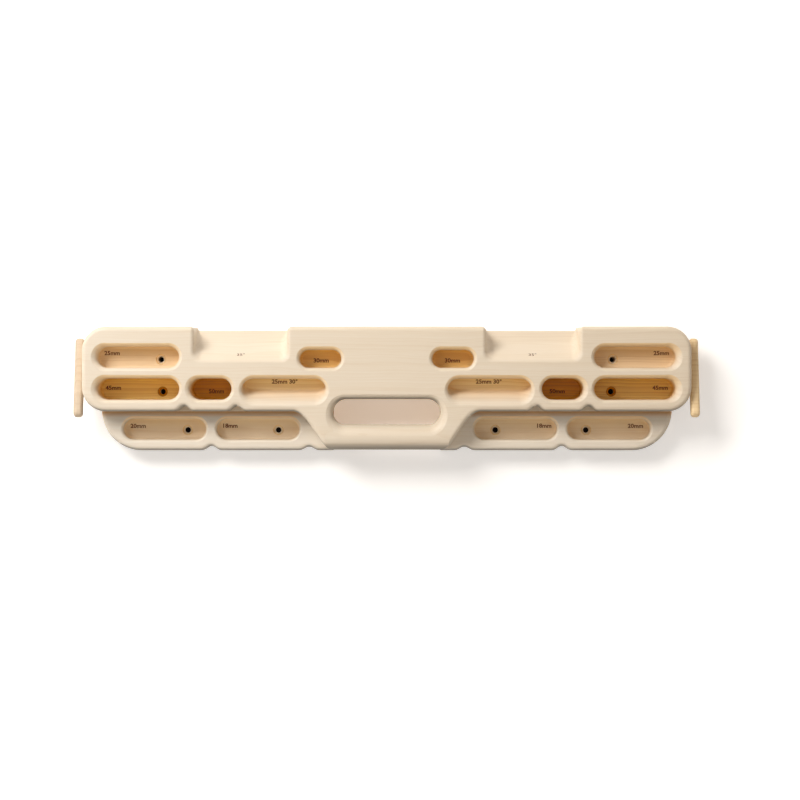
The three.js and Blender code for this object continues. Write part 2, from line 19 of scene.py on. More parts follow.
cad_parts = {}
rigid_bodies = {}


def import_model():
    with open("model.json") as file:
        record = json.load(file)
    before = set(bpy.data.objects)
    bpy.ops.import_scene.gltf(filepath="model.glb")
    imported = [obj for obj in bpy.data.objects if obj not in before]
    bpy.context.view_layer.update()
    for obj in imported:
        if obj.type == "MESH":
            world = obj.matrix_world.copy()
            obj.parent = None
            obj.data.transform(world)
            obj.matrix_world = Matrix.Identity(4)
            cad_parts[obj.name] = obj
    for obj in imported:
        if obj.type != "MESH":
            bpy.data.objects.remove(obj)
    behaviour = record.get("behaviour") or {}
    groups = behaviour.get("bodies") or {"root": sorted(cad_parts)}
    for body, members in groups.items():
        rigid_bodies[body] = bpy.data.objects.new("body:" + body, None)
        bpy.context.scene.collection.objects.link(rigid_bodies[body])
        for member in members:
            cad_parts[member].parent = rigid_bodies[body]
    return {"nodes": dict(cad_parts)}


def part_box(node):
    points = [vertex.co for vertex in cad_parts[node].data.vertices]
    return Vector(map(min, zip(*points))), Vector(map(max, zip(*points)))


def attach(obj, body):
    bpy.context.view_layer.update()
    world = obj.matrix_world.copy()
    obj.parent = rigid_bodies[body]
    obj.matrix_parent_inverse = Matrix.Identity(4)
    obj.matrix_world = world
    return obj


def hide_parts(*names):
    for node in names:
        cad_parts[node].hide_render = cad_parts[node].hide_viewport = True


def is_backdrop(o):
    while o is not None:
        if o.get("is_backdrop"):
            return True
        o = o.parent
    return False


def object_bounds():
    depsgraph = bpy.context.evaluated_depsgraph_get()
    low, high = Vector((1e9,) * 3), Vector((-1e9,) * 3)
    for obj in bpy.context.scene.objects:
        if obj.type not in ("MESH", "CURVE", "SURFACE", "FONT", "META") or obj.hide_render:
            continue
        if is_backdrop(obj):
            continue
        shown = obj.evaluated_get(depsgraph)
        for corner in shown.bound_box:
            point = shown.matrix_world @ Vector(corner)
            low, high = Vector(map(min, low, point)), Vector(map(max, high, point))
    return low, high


for leftover in list(bpy.data.objects):
    bpy.data.objects.remove(leftover)
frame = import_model()
cad_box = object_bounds()
print("CAD pieces:", sorted(frame["nodes"]))

# %% [markdown]
# ## Measures
# A maker who stands in front of the board thinks in millimetres across, up and out of the wall,
# so the pieces are modelled that way: x to the right, y up and z out of the wall. One matrix
# later turns and shrinks each finished piece into Blender's metres. The large measures come
# from the boxes of the CAD pieces. That way nothing here has to be changed when a stave is.

# %% Read the staves' places from the CAD model
mm_per_metre = 1000.0
sides = {-1: "left", 1: "right"}


def place_of(node):
    low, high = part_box(node)
    return {
        "left": low.x * mm_per_metre,
        "right": high.x * mm_per_metre,
        "bottom": low.z * mm_per_metre,
        "top": high.z * mm_per_metre,
        "back": -high.y * mm_per_metre,
        "front": -low.y * mm_per_metre,
    }


board_top = place_of("front_top_stave")["top"]
board_bottom = place_of("front_bar_stave")["bottom"]
board_end = place_of("front_top_stave")["right"]
front_face = place_of("front_top_stave")["front"]
layer_joint = place_of("front_top_stave")["back"]
tier_bottom = place_of("back_middle_stave_right")["bottom"]
lower_tier_end = place_of("back_lower_stave_right")["right"]
print(f"board {2 * board_end:.1f} x {board_top - board_bottom:.1f} x {front_face:.1f} mm")

# %% [markdown]
# ## Camera
# The camera comes before the pieces, because every choice is judged through it. It stands
# square to the wall with a long lens, slightly to the right of the middle and slightly low. The
# lens follows from two measures: how wide a stretch of the front face the picture shows and how
# far off the camera stands.

# %% Place the camera
picture_width = 916.8
camera_distance = 2700.0
camera_right = 15.3
camera_up = -13.0

camera = bpy.data.objects.new("camera", bpy.data.cameras.new("camera"))
camera.data.lens = camera.data.sensor_width * camera_distance / picture_width
camera.location = Vector((camera_right, -front_face - camera_distance, camera_up)) / mm_per_metre
camera.rotation_euler = Euler((math.radians(90), 0, 0))
bpy.context.scene.collection.objects.link(camera)
bpy.context.scene.camera = camera
print(f"lens {camera.data.lens:.1f} mm")

# %% [markdown]
# ## Three helpers for solids
# Almost everything here is a section that changes along a straight way: a routed pocket is a
# long ring that widens towards its mouth, and a layer is an outline that shrinks over its
# rounded edge. Blender's extrude operator does that step by step, so `loft` starts from one
# face, extrudes it and moves the new corners to the next section. `carve` then cuts one closed
# solid out of another, as a router does, and `inset` gives an outline moved towards its inside.

# %% Extrude a face through sections
def new_solid(name, bm):
    """Turns a bmesh into an object, with its faces outwards."""
    bmesh.ops.recalc_face_normals(bm, faces=bm.faces)
    mesh = bpy.data.meshes.new(name)
    bm.to_mesh(mesh)
    bm.free()
    solid = bpy.data.objects.new(name, mesh)
    bpy.context.scene.collection.objects.link(solid)
    return solid


def loft(name, sections):
    """A closed solid through sections that all have the same number of points."""
    bm = bmesh.new()
    number = bm.verts.layers.int.new("number")
    for i, point in enumerate(sections[0]):
        bm.verts.new(point)[number] = i
    face = bm.faces.new(bm.verts)
    for step, section in enumerate(sections[1:]):
        made = bmesh.ops.extrude_face_region(bm, geom=[face])
        if step > 0:
            bmesh.ops.delete(bm, geom=[face], context="FACES_ONLY")
        face = next(item for item in made["geom"] if isinstance(item, bmesh.types.BMFace))
        for corner in face.verts:
            corner.co = section[corner[number]]
    return new_solid(name, bm)


# %% Cut a solid with others
def carve(target, tools, operation="DIFFERENCE"):
    """Cuts the tools out of the target, or keeps what is inside them with INTERSECT."""
    for tool in tools:
        cut = target.modifiers.new("cut", "BOOLEAN")
        cut.object = tool
        cut.operation = operation
        cut.solver = "MANIFOLD"
    bpy.context.view_layer.update()
    result = target.evaluated_get(bpy.context.evaluated_depsgraph_get())
    target.data = bpy.data.meshes.new_from_object(result)
    target.modifiers.clear()


def copy_of(solid, name):
    copy = bpy.data.objects.new(name, solid.data.copy())
    bpy.context.scene.collection.objects.link(copy)
    return copy


def box_solid(name, low, high):
    """A box between two corners, for splitting solids."""
    bm = bmesh.new()
    bmesh.ops.create_cube(bm, size=1)
    size = Vector(high) - Vector(low)
    middle = (Vector(high) + Vector(low)) / 2
    bmesh.ops.scale(bm, vec=size, verts=bm.verts)
    bmesh.ops.translate(bm, vec=middle, verts=bm.verts)
    return new_solid(name, bm)


# %% Move an outline inwards
def inset(outline, distance):
    """An outline that runs clockwise, moved towards its inside by the same distance all round."""
    moved = []
    for i, point in enumerate(outline):
        before = (point - outline[i - 1]).normalized()
        after = (outline[(i + 1) % len(outline)] - point).normalized()
        along = (before + after).normalized()
        inwards = Vector((along.y, -along.x))
        moved.append(point + inwards * distance / inwards.dot(Vector((after.y, -after.x))))
    return moved


def at_height(outline, out):
    return [Vector((point.x, point.y, out)) for point in outline]


# %% [markdown]
# ## Outlines
# The front layer and the lower tier are sawn to smooth outlines. Each is drawn for its right
# half from the top edge down, from arcs and Bezier curves, and mirrored, because the board is
# the same on both sides. The small waves in the lower edges sit under the walls between two
# pockets. The bar's underside lies a little higher than the foot of the lower tier.

# %% Draw arcs, curves and waves
def turns(start, end, steps):
    return [math.radians(start + (end - start) * i / steps) for i in range(steps + 1)]


def arc(centre_x, centre_y, radius, start, end, steps=16):
    return [
        Vector((centre_x + radius * math.cos(turn), centre_y + radius * math.sin(turn)))
        for turn in turns(start, end, steps)
    ]


def curve(*places, steps=16):
    """Points of a Bezier curve: its start, two handles and its end."""
    points = interpolate_bezier(*[Vector((x, y, 0)) for x, y in places], steps + 1)
    return [point.to_2d() for point in points]


wave_width = 25.2
wave_foot_share = 0.5
wave_peak_share = 0.4


def wave(centre, edge, rise):
    """A smooth notch in a lower edge, walked from right to left."""
    half = wave_width / 2
    foot = half * (1 - wave_foot_share)
    peak = half * wave_peak_share
    top = edge + rise
    right = curve((centre + half, edge), (centre + foot, edge), (centre + peak, top), (centre, top))
    left = curve((centre, top), (centre - peak, top), (centre - foot, edge), (centre - half, edge))
    return right + left[1:]


def mirrored(half):
    return half + [Vector((-point.x, point.y)) for point in reversed(half)]


# %% Draw the upper tier and the front layer
corner_radius = 28.0
upper_wave_centres = (232.2, 172.2)
upper_wave_rise = 6.0
hole_end = 62.0
shoulder_end = 108.0
shoulder_top_share = 0.42
shoulder_foot_share = 0.33
shoulder_steps = 36
bar_rise = 1.2

corner_centre = board_end - corner_radius
upper_tier = arc(corner_centre, board_top - corner_radius, corner_radius, 90, 0)
upper_tier += arc(corner_centre, tier_bottom + corner_radius, corner_radius, 0, -90)

bar_bottom = board_bottom + bar_rise
shoulder_width = shoulder_end - hole_end
upper_handle = shoulder_end - shoulder_top_share * shoulder_width
lower_handle = hole_end + shoulder_foot_share * shoulder_width
shoulder = curve(
    (shoulder_end, tier_bottom),
    (upper_handle, tier_bottom),
    (lower_handle, bar_bottom),
    (hole_end, bar_bottom),
    steps=shoulder_steps,
)
waves = [point for x in upper_wave_centres for point in wave(x, tier_bottom, upper_wave_rise)]
front_outline = mirrored(upper_tier + waves + shoulder)
print("front outline:", len(front_outline), "points")

# %% Draw the lower tier
lower_end_radius = 47.0
lower_end_steps = 28
lower_waves = ((203.4, 5.0), (90.0, 4.0))
reach = 12.0

end_centre = lower_tier_end - lower_end_radius
end_height = board_bottom + lower_end_radius
lower_tier = [Vector((lower_tier_end, end_height + reach))]
lower_tier += arc(end_centre, end_height, lower_end_radius, 0, -90, steps=lower_end_steps)
for centre, rise in lower_waves:
    lower_tier += wave(centre, board_bottom, rise)
lower_outline = mirrored(lower_tier)
print("lower outline:", len(lower_outline), "points")

# %% [markdown]
# ## Pocket cutters
# A router leaves a long hole with half-round ends, a soft inner corner on the floor and a
# rounded mouth. The cutter for it is lofted from rings: each ring is two half circles pulled
# apart, and its radius follows the profile from the floor to the mouth. The mouth's rounding
# stops well short of flat, so it keeps a visible edge on the face, and it is wider at the outer
# end of the larger pockets, where the fingers slide in. Only towards the bar does it run out
# smoothly. From where it stops the surface goes on along its tangent through the face, because
# two surfaces that only graze each other confuse a boolean. One ring of the tangent lies just
# under the face, so that a tint can cover the mouth and end at its edge.

# %% Describe a pocket and its mouth
# Mouth is the radius of the mouth's rounding, and wide its radius at an end that opens further
Pocket = namedtuple("Pocket", "left right top height depth face mouth wide")

crisp_turn = 62
last_turn = 84
clear = 0.3
skin = 0.03
bar_front_radius = 14.0
bar_blend_power = 2.5


def tangent_run(radius, stop=last_turn, past=clear):
    """How far a rounding's tangent travels sideways before it is past the face."""
    left_over = radius * (1 - math.sin(math.radians(stop)))
    return (left_over + past) * math.tan(math.radians(stop))


def mouth_at(room, turn, wide_ends, into_bar):
    """The mouth's radius, and the turn in degrees at which its rounding stops."""
    towards_bar = ((1 - math.sin(turn)) / 2) ** bar_blend_power if into_bar else 0
    towards_end = max([0] + [side * math.cos(turn) for side in wide_ends])
    radius = room.mouth + (room.wide - room.mouth) * towards_end
    radius += (bar_front_radius - room.mouth) * towards_bar
    return radius, crisp_turn + (last_turn - crisp_turn) * towards_bar


# %% Loft one routed pocket
end_steps = 32
mouth_steps = 10
floor_steps = 6
floor_rounding = 3.0


def routed(name, room, wide_ends=(), into_bar=False, shape=None):
    """A pocket cutter. Wide_ends lists the ends, -1 and 1, that have the room's wide mouth."""
    radius = room.height / 2
    middle = room.top - radius
    directions = [(room.right - radius, turn) for turn in turns(-90, 90, end_steps)]
    directions += [(room.left + radius, turn) for turn in turns(90, 270, end_steps)]

    def mouth_point(turn, share):
        """How far the mouth has opened and how deep it lies, at a share of its rounding."""
        here, stop = mouth_at(room, turn, wide_ends, into_bar)
        reached = math.radians(stop * share)
        return here * (1 - math.cos(reached)), here * (1 - math.sin(reached))

    def tangent_point(turn, past):
        """The same on the rounding's tangent, where it is so far past the face."""
        here, stop = mouth_at(room, turn, wide_ends, into_bar)
        return mouth_point(turn, 1)[0] + tangent_run(here, stop, past), -past

    def ring(profile):
        """One section. Profile gives how far each direction is past the wall, and how deep."""
        points = []
        for centre, turn in directions:
            opening, depth = profile(turn)
            x = centre + (radius + opening) * math.cos(turn)
            y = middle + (radius + opening) * math.sin(turn)
            points.append(Vector((x, y, room.face - depth)))
        return points if shape is None else [shape(point) for point in points]

    sections = []
    for step in turns(0, 90, floor_steps):
        short = floor_rounding * (1 - math.sin(step))
        depth = room.depth - floor_rounding * (1 - math.cos(step))
        sections.append(ring(lambda turn: (-short, depth)))
    for step in range(mouth_steps + 1):
        sections.append(ring(lambda turn: mouth_point(turn, step / mouth_steps)))
    for past in (-skin, clear):
        sections.append(ring(lambda turn: tangent_point(turn, past)))
    return loft(name, sections)


# %% Place the straight pockets
pocket_height = 24.6
upper_row_top = 48.6
middle_row_top = 12.0
lower_row_top = -34.3
small_pocket_top = 44.8
small_pocket_height = 20.8
pocket_mouth = 5.0
lower_mouth = 3.6
wide_mouths = {"edge_25": 9.0, "edge_45": 9.0, "edge_50": 7.0}

# Left and right end, top, height and depth of each pocket on the board's right. The 30 mm
# pocket ends where the two layers meet, so it is cut a hair deeper to leave no skin.
upper_pockets = {
    "edge_25": (238.2, 332.4, upper_row_top, pocket_height, 25.0),
    "edge_45": (238.2, 332.4, middle_row_top, pocket_height, 45.0),
    "edge_50": (178.2, 226.2, middle_row_top, pocket_height, 50.0),
    "edge_30": (52.2, 100.2, small_pocket_top, small_pocket_height, 30.02),
}
lower_pockets = {
    "edge_20": (209.4, 305.6, lower_row_top, pocket_height, 20.0),
    "edge_18": (101.2, 197.4, lower_row_top, pocket_height, 18.0),
}
rooms = {}
for name, sizes in upper_pockets.items():
    rooms[name] = Pocket(*sizes, front_face, pocket_mouth, wide_mouths.get(name, pocket_mouth))
for name, sizes in lower_pockets.items():
    rooms[name] = Pocket(*sizes, layer_joint, lower_mouth, lower_mouth)
print(len(rooms), "straight pockets on each side")


# %% Route the straight pockets
def on_left(room):
    return room._replace(left=-room.right, right=-room.left)


upper_cutters = []
lower_cutters = []
for name, room in rooms.items():
    tier = lower_cutters if name in lower_pockets else upper_cutters
    tier.append(routed(name, room, wide_ends=(1,)))
    tier.append(routed(name, on_left(room), wide_ends=(-1,)))
print(len(upper_cutters), "upper and", len(lower_cutters), "lower pocket cutters")

# %% [markdown]
# ### The slanted pocket
# Beside the middle sits a pocket whose lower lip falls towards the front at 30 degrees, so the
# fingers rest on a slope. It is the same cutter, squeezed from below: the deeper a point lies,
# the closer it moves to the pocket's top.

# %% Route the slanted pockets
slanted_start = 70.0
slanted_end = 166.2
slanted_depth = 25.0
slanted_angle = 30
slanted_back_height = 13.2
slanted_fall = slanted_depth * math.tan(math.radians(slanted_angle))
slanted_front_height = slanted_back_height + slanted_fall


def squeeze(point):
    depth = max(front_face - point.z, 0)
    kept = 1 - (depth / slanted_depth) * slanted_fall / slanted_front_height
    return Vector((point.x, middle_row_top - (middle_row_top - point.y) * kept, point.z))


slanted = Pocket(
    slanted_start, slanted_end, middle_row_top, slanted_front_height, slanted_depth,
    front_face, pocket_mouth, pocket_mouth,
)
rooms["slanted_25"] = slanted
for room in (slanted, on_left(slanted)):
    upper_cutters.append(routed("slanted_25", room, shape=squeeze))
print(f"slanted pocket opens from {slanted_back_height} to {slanted_front_height:.1f} mm")

# %% [markdown]
# ### The hole and the bar
# A wide hole through the front layer leaves a bar under it that a hand closes round. The bar is
# nearly round: its long edges are cut away by coves that run straight across it, with a large
# radius in front and a smaller one behind. A cove cutter is the waste outside the rounding,
# drawn as a section (up, out) and extruded along the bar.

# %% Route the hole
hole_top = -12.1
hole_height = 29.3
hole_bottom = hole_top - hole_height
hole_mouth = 7.2
hole_end_mouth = 8.5

hole_room = Pocket(
    -hole_end, hole_end, hole_top, hole_height, front_face - layer_joint + reach,
    front_face, hole_mouth, hole_end_mouth,
)
hole = routed("hole", hole_room, wide_ends=(-1, 1), into_bar=True)
print(f"bar {hole_bottom - bar_bottom:.1f} mm high")

# %% Route the coves of the bar
bar_back_radius = 10.0
waste = 1.0
cove_steps = 14


def cove(edge, face, radius, up, out, end):
    """The wood lies above the edge where up is 1, and in front of the face where out is 1."""
    run = tangent_run(radius)
    centre = Vector((edge + up * radius, face + out * radius))
    section = [Vector((edge - up * waste, centre.y + out * run))]
    for turn in turns(90 - last_turn, last_turn, cove_steps):
        section.append(centre - radius * Vector((up * math.cos(turn), out * math.sin(turn))))
    section.append(Vector((centre.x + up * run, face - out * clear)))
    section.append(Vector((edge - up * waste, face - out * clear)))
    return loft("cove", [[Vector((x, p.x, p.y)) for p in section] for x in (-end, end)])


coves = [
    cove(hole_bottom, layer_joint, bar_back_radius, -1, 1, hole_end),
    cove(bar_bottom, layer_joint, bar_back_radius, 1, 1, hole_end),
    cove(bar_bottom, front_face, bar_front_radius, 1, -1, shoulder_end),
]
print(len(coves), "coves")

# %% [markdown]
# ### The notch behind the bar
# The back layer stops short behind the bar, which leaves room for the fingers against the wall.
# Its upper corners follow the hole.

# %% Draw the notch
notch_radius = hole_height / 2
notch_right = [Vector((hole_end, board_bottom - reach))]
notch_right += arc(hole_end - notch_radius, hole_top - notch_radius, notch_radius, 0, 90, steps=end_steps)
notch_outline = notch_right + [Vector((-p.x, p.y)) for p in reversed(notch_right)]
notch = loft("notch", [at_height(notch_outline, out) for out in (-reach, layer_joint)])
print("notch", 2 * hole_end, "mm wide")

# %% [markdown]
# ### Slopers
# A sloper is a ledge without an edge: the palm holds it by friction alone. It climbs back from
# the front face at 35 degrees and ends in a narrow land against the wall. The cutter is one
# section that travels back along the slope. Its lower corners are round inside, and its upper
# ones roll over the board's top edge. Both roundings shrink where the side wall gets low.

# %% Draw one section of a sloper
sloper_width = 106.6
sloper_middle = 167.7
sloper_angle = 35
sloper_rise = math.tan(math.radians(sloper_angle))
sloper_lip = 32.0
sloper_land = 68.0
lip_radius = 5.0
inner_radius = 10.0
shoulder_radius = 6.0
rounding_steps = 8
land_blend = 3.0
slope_end = (sloper_land - sloper_lip) / sloper_rise


def sloper_floor(back):
    """Height of the ledge at a distance back from the front face."""
    rest = slope_end - back
    if abs(rest) < land_blend:
        return sloper_land - sloper_rise * (land_blend + rest) ** 2 / (4 * land_blend)
    return sloper_land - sloper_rise * max(rest, 0)


def sloper_section(back, floor, spread):
    """One section of the cutter, clockwise from its upper left."""
    scale = min(1, (board_top - floor) / (inner_radius + shoulder_radius + clear))
    half = sloper_width / 2 + spread
    rolled = scale * shoulder_radius
    inner = scale * inner_radius
    last_across = rolled * (1 - math.cos(math.radians(last_turn)))
    right = [Vector((half + last_across + tangent_run(rolled), board_top + clear))]
    for turn in turns(last_turn, 0, rounding_steps):
        x = half + rolled * (1 - math.cos(turn))
        right.append(Vector((x, board_top - rolled * (1 - math.sin(turn)))))
    right += arc(half - inner, floor + inner, inner, 0, -90, steps=rounding_steps)
    outline = mirrored(right)
    return [Vector((sloper_middle + p.x, p.y, front_face - back)) for p in outline]


# %% Loft the slopers over the lip, up the slope and onto the land
slope_turn = 90 - sloper_angle
lip_steps = 14
slope_steps = 24
land_shares = (-0.6, -0.2, 0.2, 0.6, 1)

lip_drop = lip_radius * math.tan(math.radians(slope_turn) / 2)
first_turn = 90 - last_turn
first_back = lip_radius * (1 - math.cos(math.radians(first_turn)))
front_run = (first_back + clear) / math.tan(math.radians(first_turn))
lip_start = sloper_lip - lip_drop + lip_radius * math.sin(math.radians(first_turn))
first_spread = lip_radius * (1 - math.sin(math.radians(first_turn)))
sloper_sections = [sloper_section(-clear, lip_start - front_run, first_spread + front_run)]
for turn in turns(first_turn, 90, lip_steps):
    back = lip_radius * (1 - math.cos(turn))
    on_lip = turn < math.radians(slope_turn)
    floor = sloper_lip - lip_drop + lip_radius * math.sin(turn) if on_lip else sloper_floor(back)
    sloper_sections.append(sloper_section(back, floor, lip_radius * (1 - math.sin(turn))))
slope_run = slope_end - land_blend - lip_radius
backs = [lip_radius + slope_run * i / slope_steps for i in range(1, slope_steps + 1)]
backs += [slope_end + land_blend * share for share in land_shares]
backs += [front_face + reach]
for back in backs:
    sloper_sections.append(sloper_section(back, sloper_floor(back), 0))
right_sloper = loft("sloper", sloper_sections)
left_sloper = copy_of(right_sloper, "sloper")
left_sloper.data.transform(Matrix.Translation((-2 * sloper_middle, 0, 0)))
slopers = [right_sloper, left_sloper]
print(len(sloper_sections), "sections in each sloper")

# %% [markdown]
# ### Countersunk screw holes
# Each flat pocket for four fingers hides one screw hole to the wall. Its cutter is a profile
# turned round its own axis, which is what Blender's spin operator is for.

# %% Turn a profile round an axis
round_points = 48
weld = 1e-4


def spun(name, profile):
    """Turns a profile of (radius, height) once round the z axis and closes it."""
    bm = bmesh.new()
    corners = [bm.verts.new((radius, 0, height)) for radius, height in profile]
    edges = [bm.edges.new(pair) for pair in zip(corners, corners[1:])]
    bmesh.ops.spin(
        bm, geom=corners + edges, axis=(0, 0, 1), cent=(0, 0, 0), angle=math.tau,
        steps=round_points, use_merge=True,
    )
    bmesh.ops.remove_doubles(bm, verts=bm.verts, dist=weld)
    return new_solid(name, bm)


# %% Spin the screw hole cutters
hole_radius = 3.25
sink_radius = 6.0
rim_width = 0.5
rim_depth = 0.6


def floor_of(name):
    return rooms[name].face - rooms[name].depth


def screw_hole(x, y, floor):
    cone = sink_radius - hole_radius + rim_depth
    profile = [
        (0, -reach),
        (hole_radius, -reach),
        (hole_radius, floor - cone),
        (sink_radius - 2 * rim_width, floor - rim_depth - rim_width),
        (sink_radius - rim_width, floor - rim_depth),
        (sink_radius, floor),
        (sink_radius + clear, floor + clear),
        (0, floor + clear),
    ]
    cutter = spun("screw_hole", profile)
    cutter.data.transform(Matrix.Translation((x, y, 0)))
    return cutter


# Distance from the middle, height and distance from the wall of each hole on the right
screw_places = (
    (261.2, 33.9, floor_of("edge_25")),
    (261.2, -3.2, floor_of("edge_45")),
    (232.4, -48.0, floor_of("edge_20")),
    (126.5, -48.0, floor_of("edge_18")),
)
screw_holes = [screw_hole(side * x, y, floor) for x, y, floor in screw_places for side in sides]
print(len(screw_holes), "screw holes")

# %% [markdown]
# ## The two layers
# The front layer is the outline with a rounded front edge. The back layer is the same upper tier
# without rounding, because its edge is glued flat to the front, and below it the lower tier
# stands back by the front layer's thickness. All of them are cut by the same cutters, so a deep
# pocket runs on from one layer into the next without a step.

# %% Loft the layers
edge_rounding = 5.5
edge_steps = 8


def rounded_layer(name, outline, back, front):
    sections = [at_height(outline, back)]
    for turn in turns(0, 90, edge_steps):
        moved = inset(outline, edge_rounding * (1 - math.cos(turn)))
        sections.append(at_height(moved, front - edge_rounding * (1 - math.sin(turn))))
    return loft(name, sections)


front_layer = rounded_layer("front_layer", front_outline, layer_joint, front_face)
upper_back = loft("upper_back", [at_height(mirrored(upper_tier), out) for out in (0, layer_joint)])
lower_back = rounded_layer("lower_back", lower_outline, 0, layer_joint)

# %% Cut the layers
carve(front_layer, upper_cutters + slopers + [hole] + coves + screw_holes)
carve(upper_back, upper_cutters + slopers + screw_holes + [notch])
carve(lower_back, lower_cutters + screw_holes + [notch])
for layer in (front_layer, upper_back, lower_back):
    print(layer.name, len(layer.data.vertices), "points after the cuts")

# %% [markdown]
# ## Staves
# No plank is as wide as the board, so each layer is glued up from staves. The CAD model gives
# the height of every glue joint. Each stave is what is left of its layer inside a box between
# two joints, which keeps the joints exactly shut.

# %% Split the layers at the glue joints
def stave(node, layer):
    place = place_of(node)
    low = [place["left"] - reach, place["bottom"], place["back"] - reach]
    high = [place["right"] + reach, place["top"], place["front"] + reach]
    if place["bottom"] < board_bottom + clear:
        low[1] -= reach
    if place["top"] > board_top - clear:
        high[1] += reach
    if node.endswith("_left"):
        high[0] = 0
    if node.endswith("_right"):
        low[0] = 0
    piece = copy_of(layer, node + "_wood")
    box = box_solid("box", low, high)
    carve(piece, [box], operation="INTERSECT")
    bpy.data.objects.remove(box)
    return piece


layer_of = {
    "front_top_stave": front_layer,
    "front_middle_stave": front_layer,
    "front_bar_stave": front_layer,
    "back_top_stave": upper_back,
    "back_upper_stave": upper_back,
    "back_middle_stave_left": upper_back,
    "back_middle_stave_right": upper_back,
    "back_lower_stave_left": lower_back,
    "back_lower_stave_right": lower_back,
}
staves = {node: stave(node, layer) for node, layer in layer_of.items()}
cutters = upper_cutters + lower_cutters + slopers + coves + screw_holes
for used in cutters + [hole, notch, front_layer, upper_back, lower_back]:
    bpy.data.objects.remove(used)
print(len(staves), "staves")

# %% [markdown]
# ## Cleats
# At each end a narrow bar leans in front of the board's side, on a stem that is screwed to it. A
# stretch band hooks behind the bar. The side view is an outline with a rounding at each corner,
# lofted across the thickness with soft edges on both faces.

# %% Round one corner of an outline
handle_share = 2 / 3
cleat_corner_steps = 12


def rounded_corner(before, corner, after, radius):
    """Points of the curve that rounds one corner of an outline."""
    start = corner + (before - corner).normalized() * radius
    end = corner + (after - corner).normalized() * radius
    handles = [point.lerp(corner, handle_share) for point in (start, end)]
    return curve(start, *handles, end, steps=cleat_corner_steps)


# %% Draw the cleat from the side
bar_depth = 13.0
bar_end_radius = 6.0
crook_radius = 5.0
stem_radius = 6.0
bar_setback = 18.7
bar_tilt = math.radians(12.5)
upper_arm = 14.9
lower_arm = 45.3
stem_bottom = 10.0
stem_top = 42.0
stem_gap = 4.0


def cleat_outline():
    """Points (up, out) round the cleat, clockwise."""
    along = Vector((math.cos(bar_tilt), -math.sin(bar_tilt)))
    back = Vector((along.y, -along.x))
    middle = Vector(((stem_bottom + stem_top) / 2, front_face - bar_setback))
    rear = middle.x + back.x * bar_depth
    upper_crook = (stem_top - rear) / along.x
    lower_crook = (stem_bottom - rear) / along.x
    rest_top = upper_crook + upper_arm
    rest_bottom = lower_crook - lower_arm
    corners = [
        (middle + along * rest_bottom, bar_end_radius),
        (middle + along * rest_top, bar_end_radius),
        (middle + along * rest_top + back * bar_depth, bar_end_radius),
        (middle + along * upper_crook + back * bar_depth, crook_radius),
        (Vector((stem_top, stem_gap)), stem_radius),
        (Vector((stem_bottom, stem_gap)), stem_radius),
        (middle + along * lower_crook + back * bar_depth, crook_radius),
        (middle + along * rest_bottom + back * bar_depth, bar_end_radius),
    ]
    points = []
    for i, (corner, radius) in enumerate(corners):
        after = corners[(i + 1) % len(corners)][0]
        points += rounded_corner(corners[i - 1][0], corner, after, radius)
    return points


side_view = cleat_outline()
print("cleat outline:", len(side_view), "points")

# %% Loft both cleats
cleat_thickness = 10.5
cleat_softness = 4.0
soft_steps = 16


def cleat(side):
    sections = []
    for turn in turns(0, 180, soft_steps):
        across = math.sin(turn)
        inner = inset(side_view, cleat_softness * (1 - across))
        soft = cleat_softness * (1 - abs(math.cos(turn)))
        x = soft if turn < math.pi / 2 else cleat_thickness - soft
        sections.append([Vector((side * (board_end + x), p.x, p.y)) for p in inner])
    return loft("cleat", sections)


cleats = {side: cleat(side) for side in sides}
print(len(cleats), "cleats,", cleat_thickness, "mm thick")

# %% [markdown]
# ## Cleat screws
# Two countersunk screws hold each cleat. Only the heads show, with a six-sided socket in each.
# A screw is one loft from its tip to the bottom of the socket: the circle of the head turns
# into the hexagon of the socket with the same number of points.

# %% Loft a screw from its tip to its socket
screw_length = 40.0
screw_radius = 2.0
head_radius = 4.0
head_height = 2.6
tip_length = 6.0
socket_radius = 1.5
socket_depth = 1.6
socket_corners = 6
head_bevel = 0.15
screw_out = 16.0


def around(radius, corners=None):
    """Points of a circle, or of a polygon with that many corners at the radius."""
    points = []
    for i in range(round_points):
        turn = math.tau * i / round_points
        reach_there = radius
        if corners:
            half_side = math.pi / corners
            reach_there *= math.cos(half_side) / math.cos(turn % (2 * half_side) - half_side)
        points.append(Vector((reach_there * math.cos(turn), reach_there * math.sin(turn))))
    return points


def onto_cleat(solid, side, height):
    """Turns a screw's axis from z to the outer side of a cleat."""
    turn = Matrix.Rotation(side * math.radians(90), 4, "Y")
    place = Matrix.Translation((side * (board_end + cleat_thickness), height, screw_out))
    solid.data.transform(place @ turn)
    return solid


def cleat_screw(side, height):
    sections = [
        at_height(around(head_bevel), -screw_length),
        at_height(around(screw_radius), -screw_length + tip_length),
        at_height(around(screw_radius), -head_height),
        at_height(around(head_radius - head_bevel), -head_bevel * 2),
        at_height(around(head_radius), -head_bevel),
        at_height(around(head_radius - head_bevel), 0),
        at_height(around(socket_radius + head_bevel, socket_corners), 0),
        at_height(around(socket_radius, socket_corners), -head_bevel),
        at_height(around(socket_radius, socket_corners), -socket_depth),
    ]
    return onto_cleat(loft("cleat_screw", sections), side, height)


# %% Sink the screws into the cleats
screw_clearance = 0.3
screw_heights = {"lower": 19.0, "upper": 33.0}


def screw_seat(side, height):
    wide = head_radius + screw_clearance
    narrow = screw_radius + screw_clearance
    profile = [(0, -screw_length), (narrow, -screw_length), (narrow, -head_height)]
    profile += [(wide, 0), (wide, reach), (0, reach)]
    return onto_cleat(spun("screw_seat", profile), side, height)


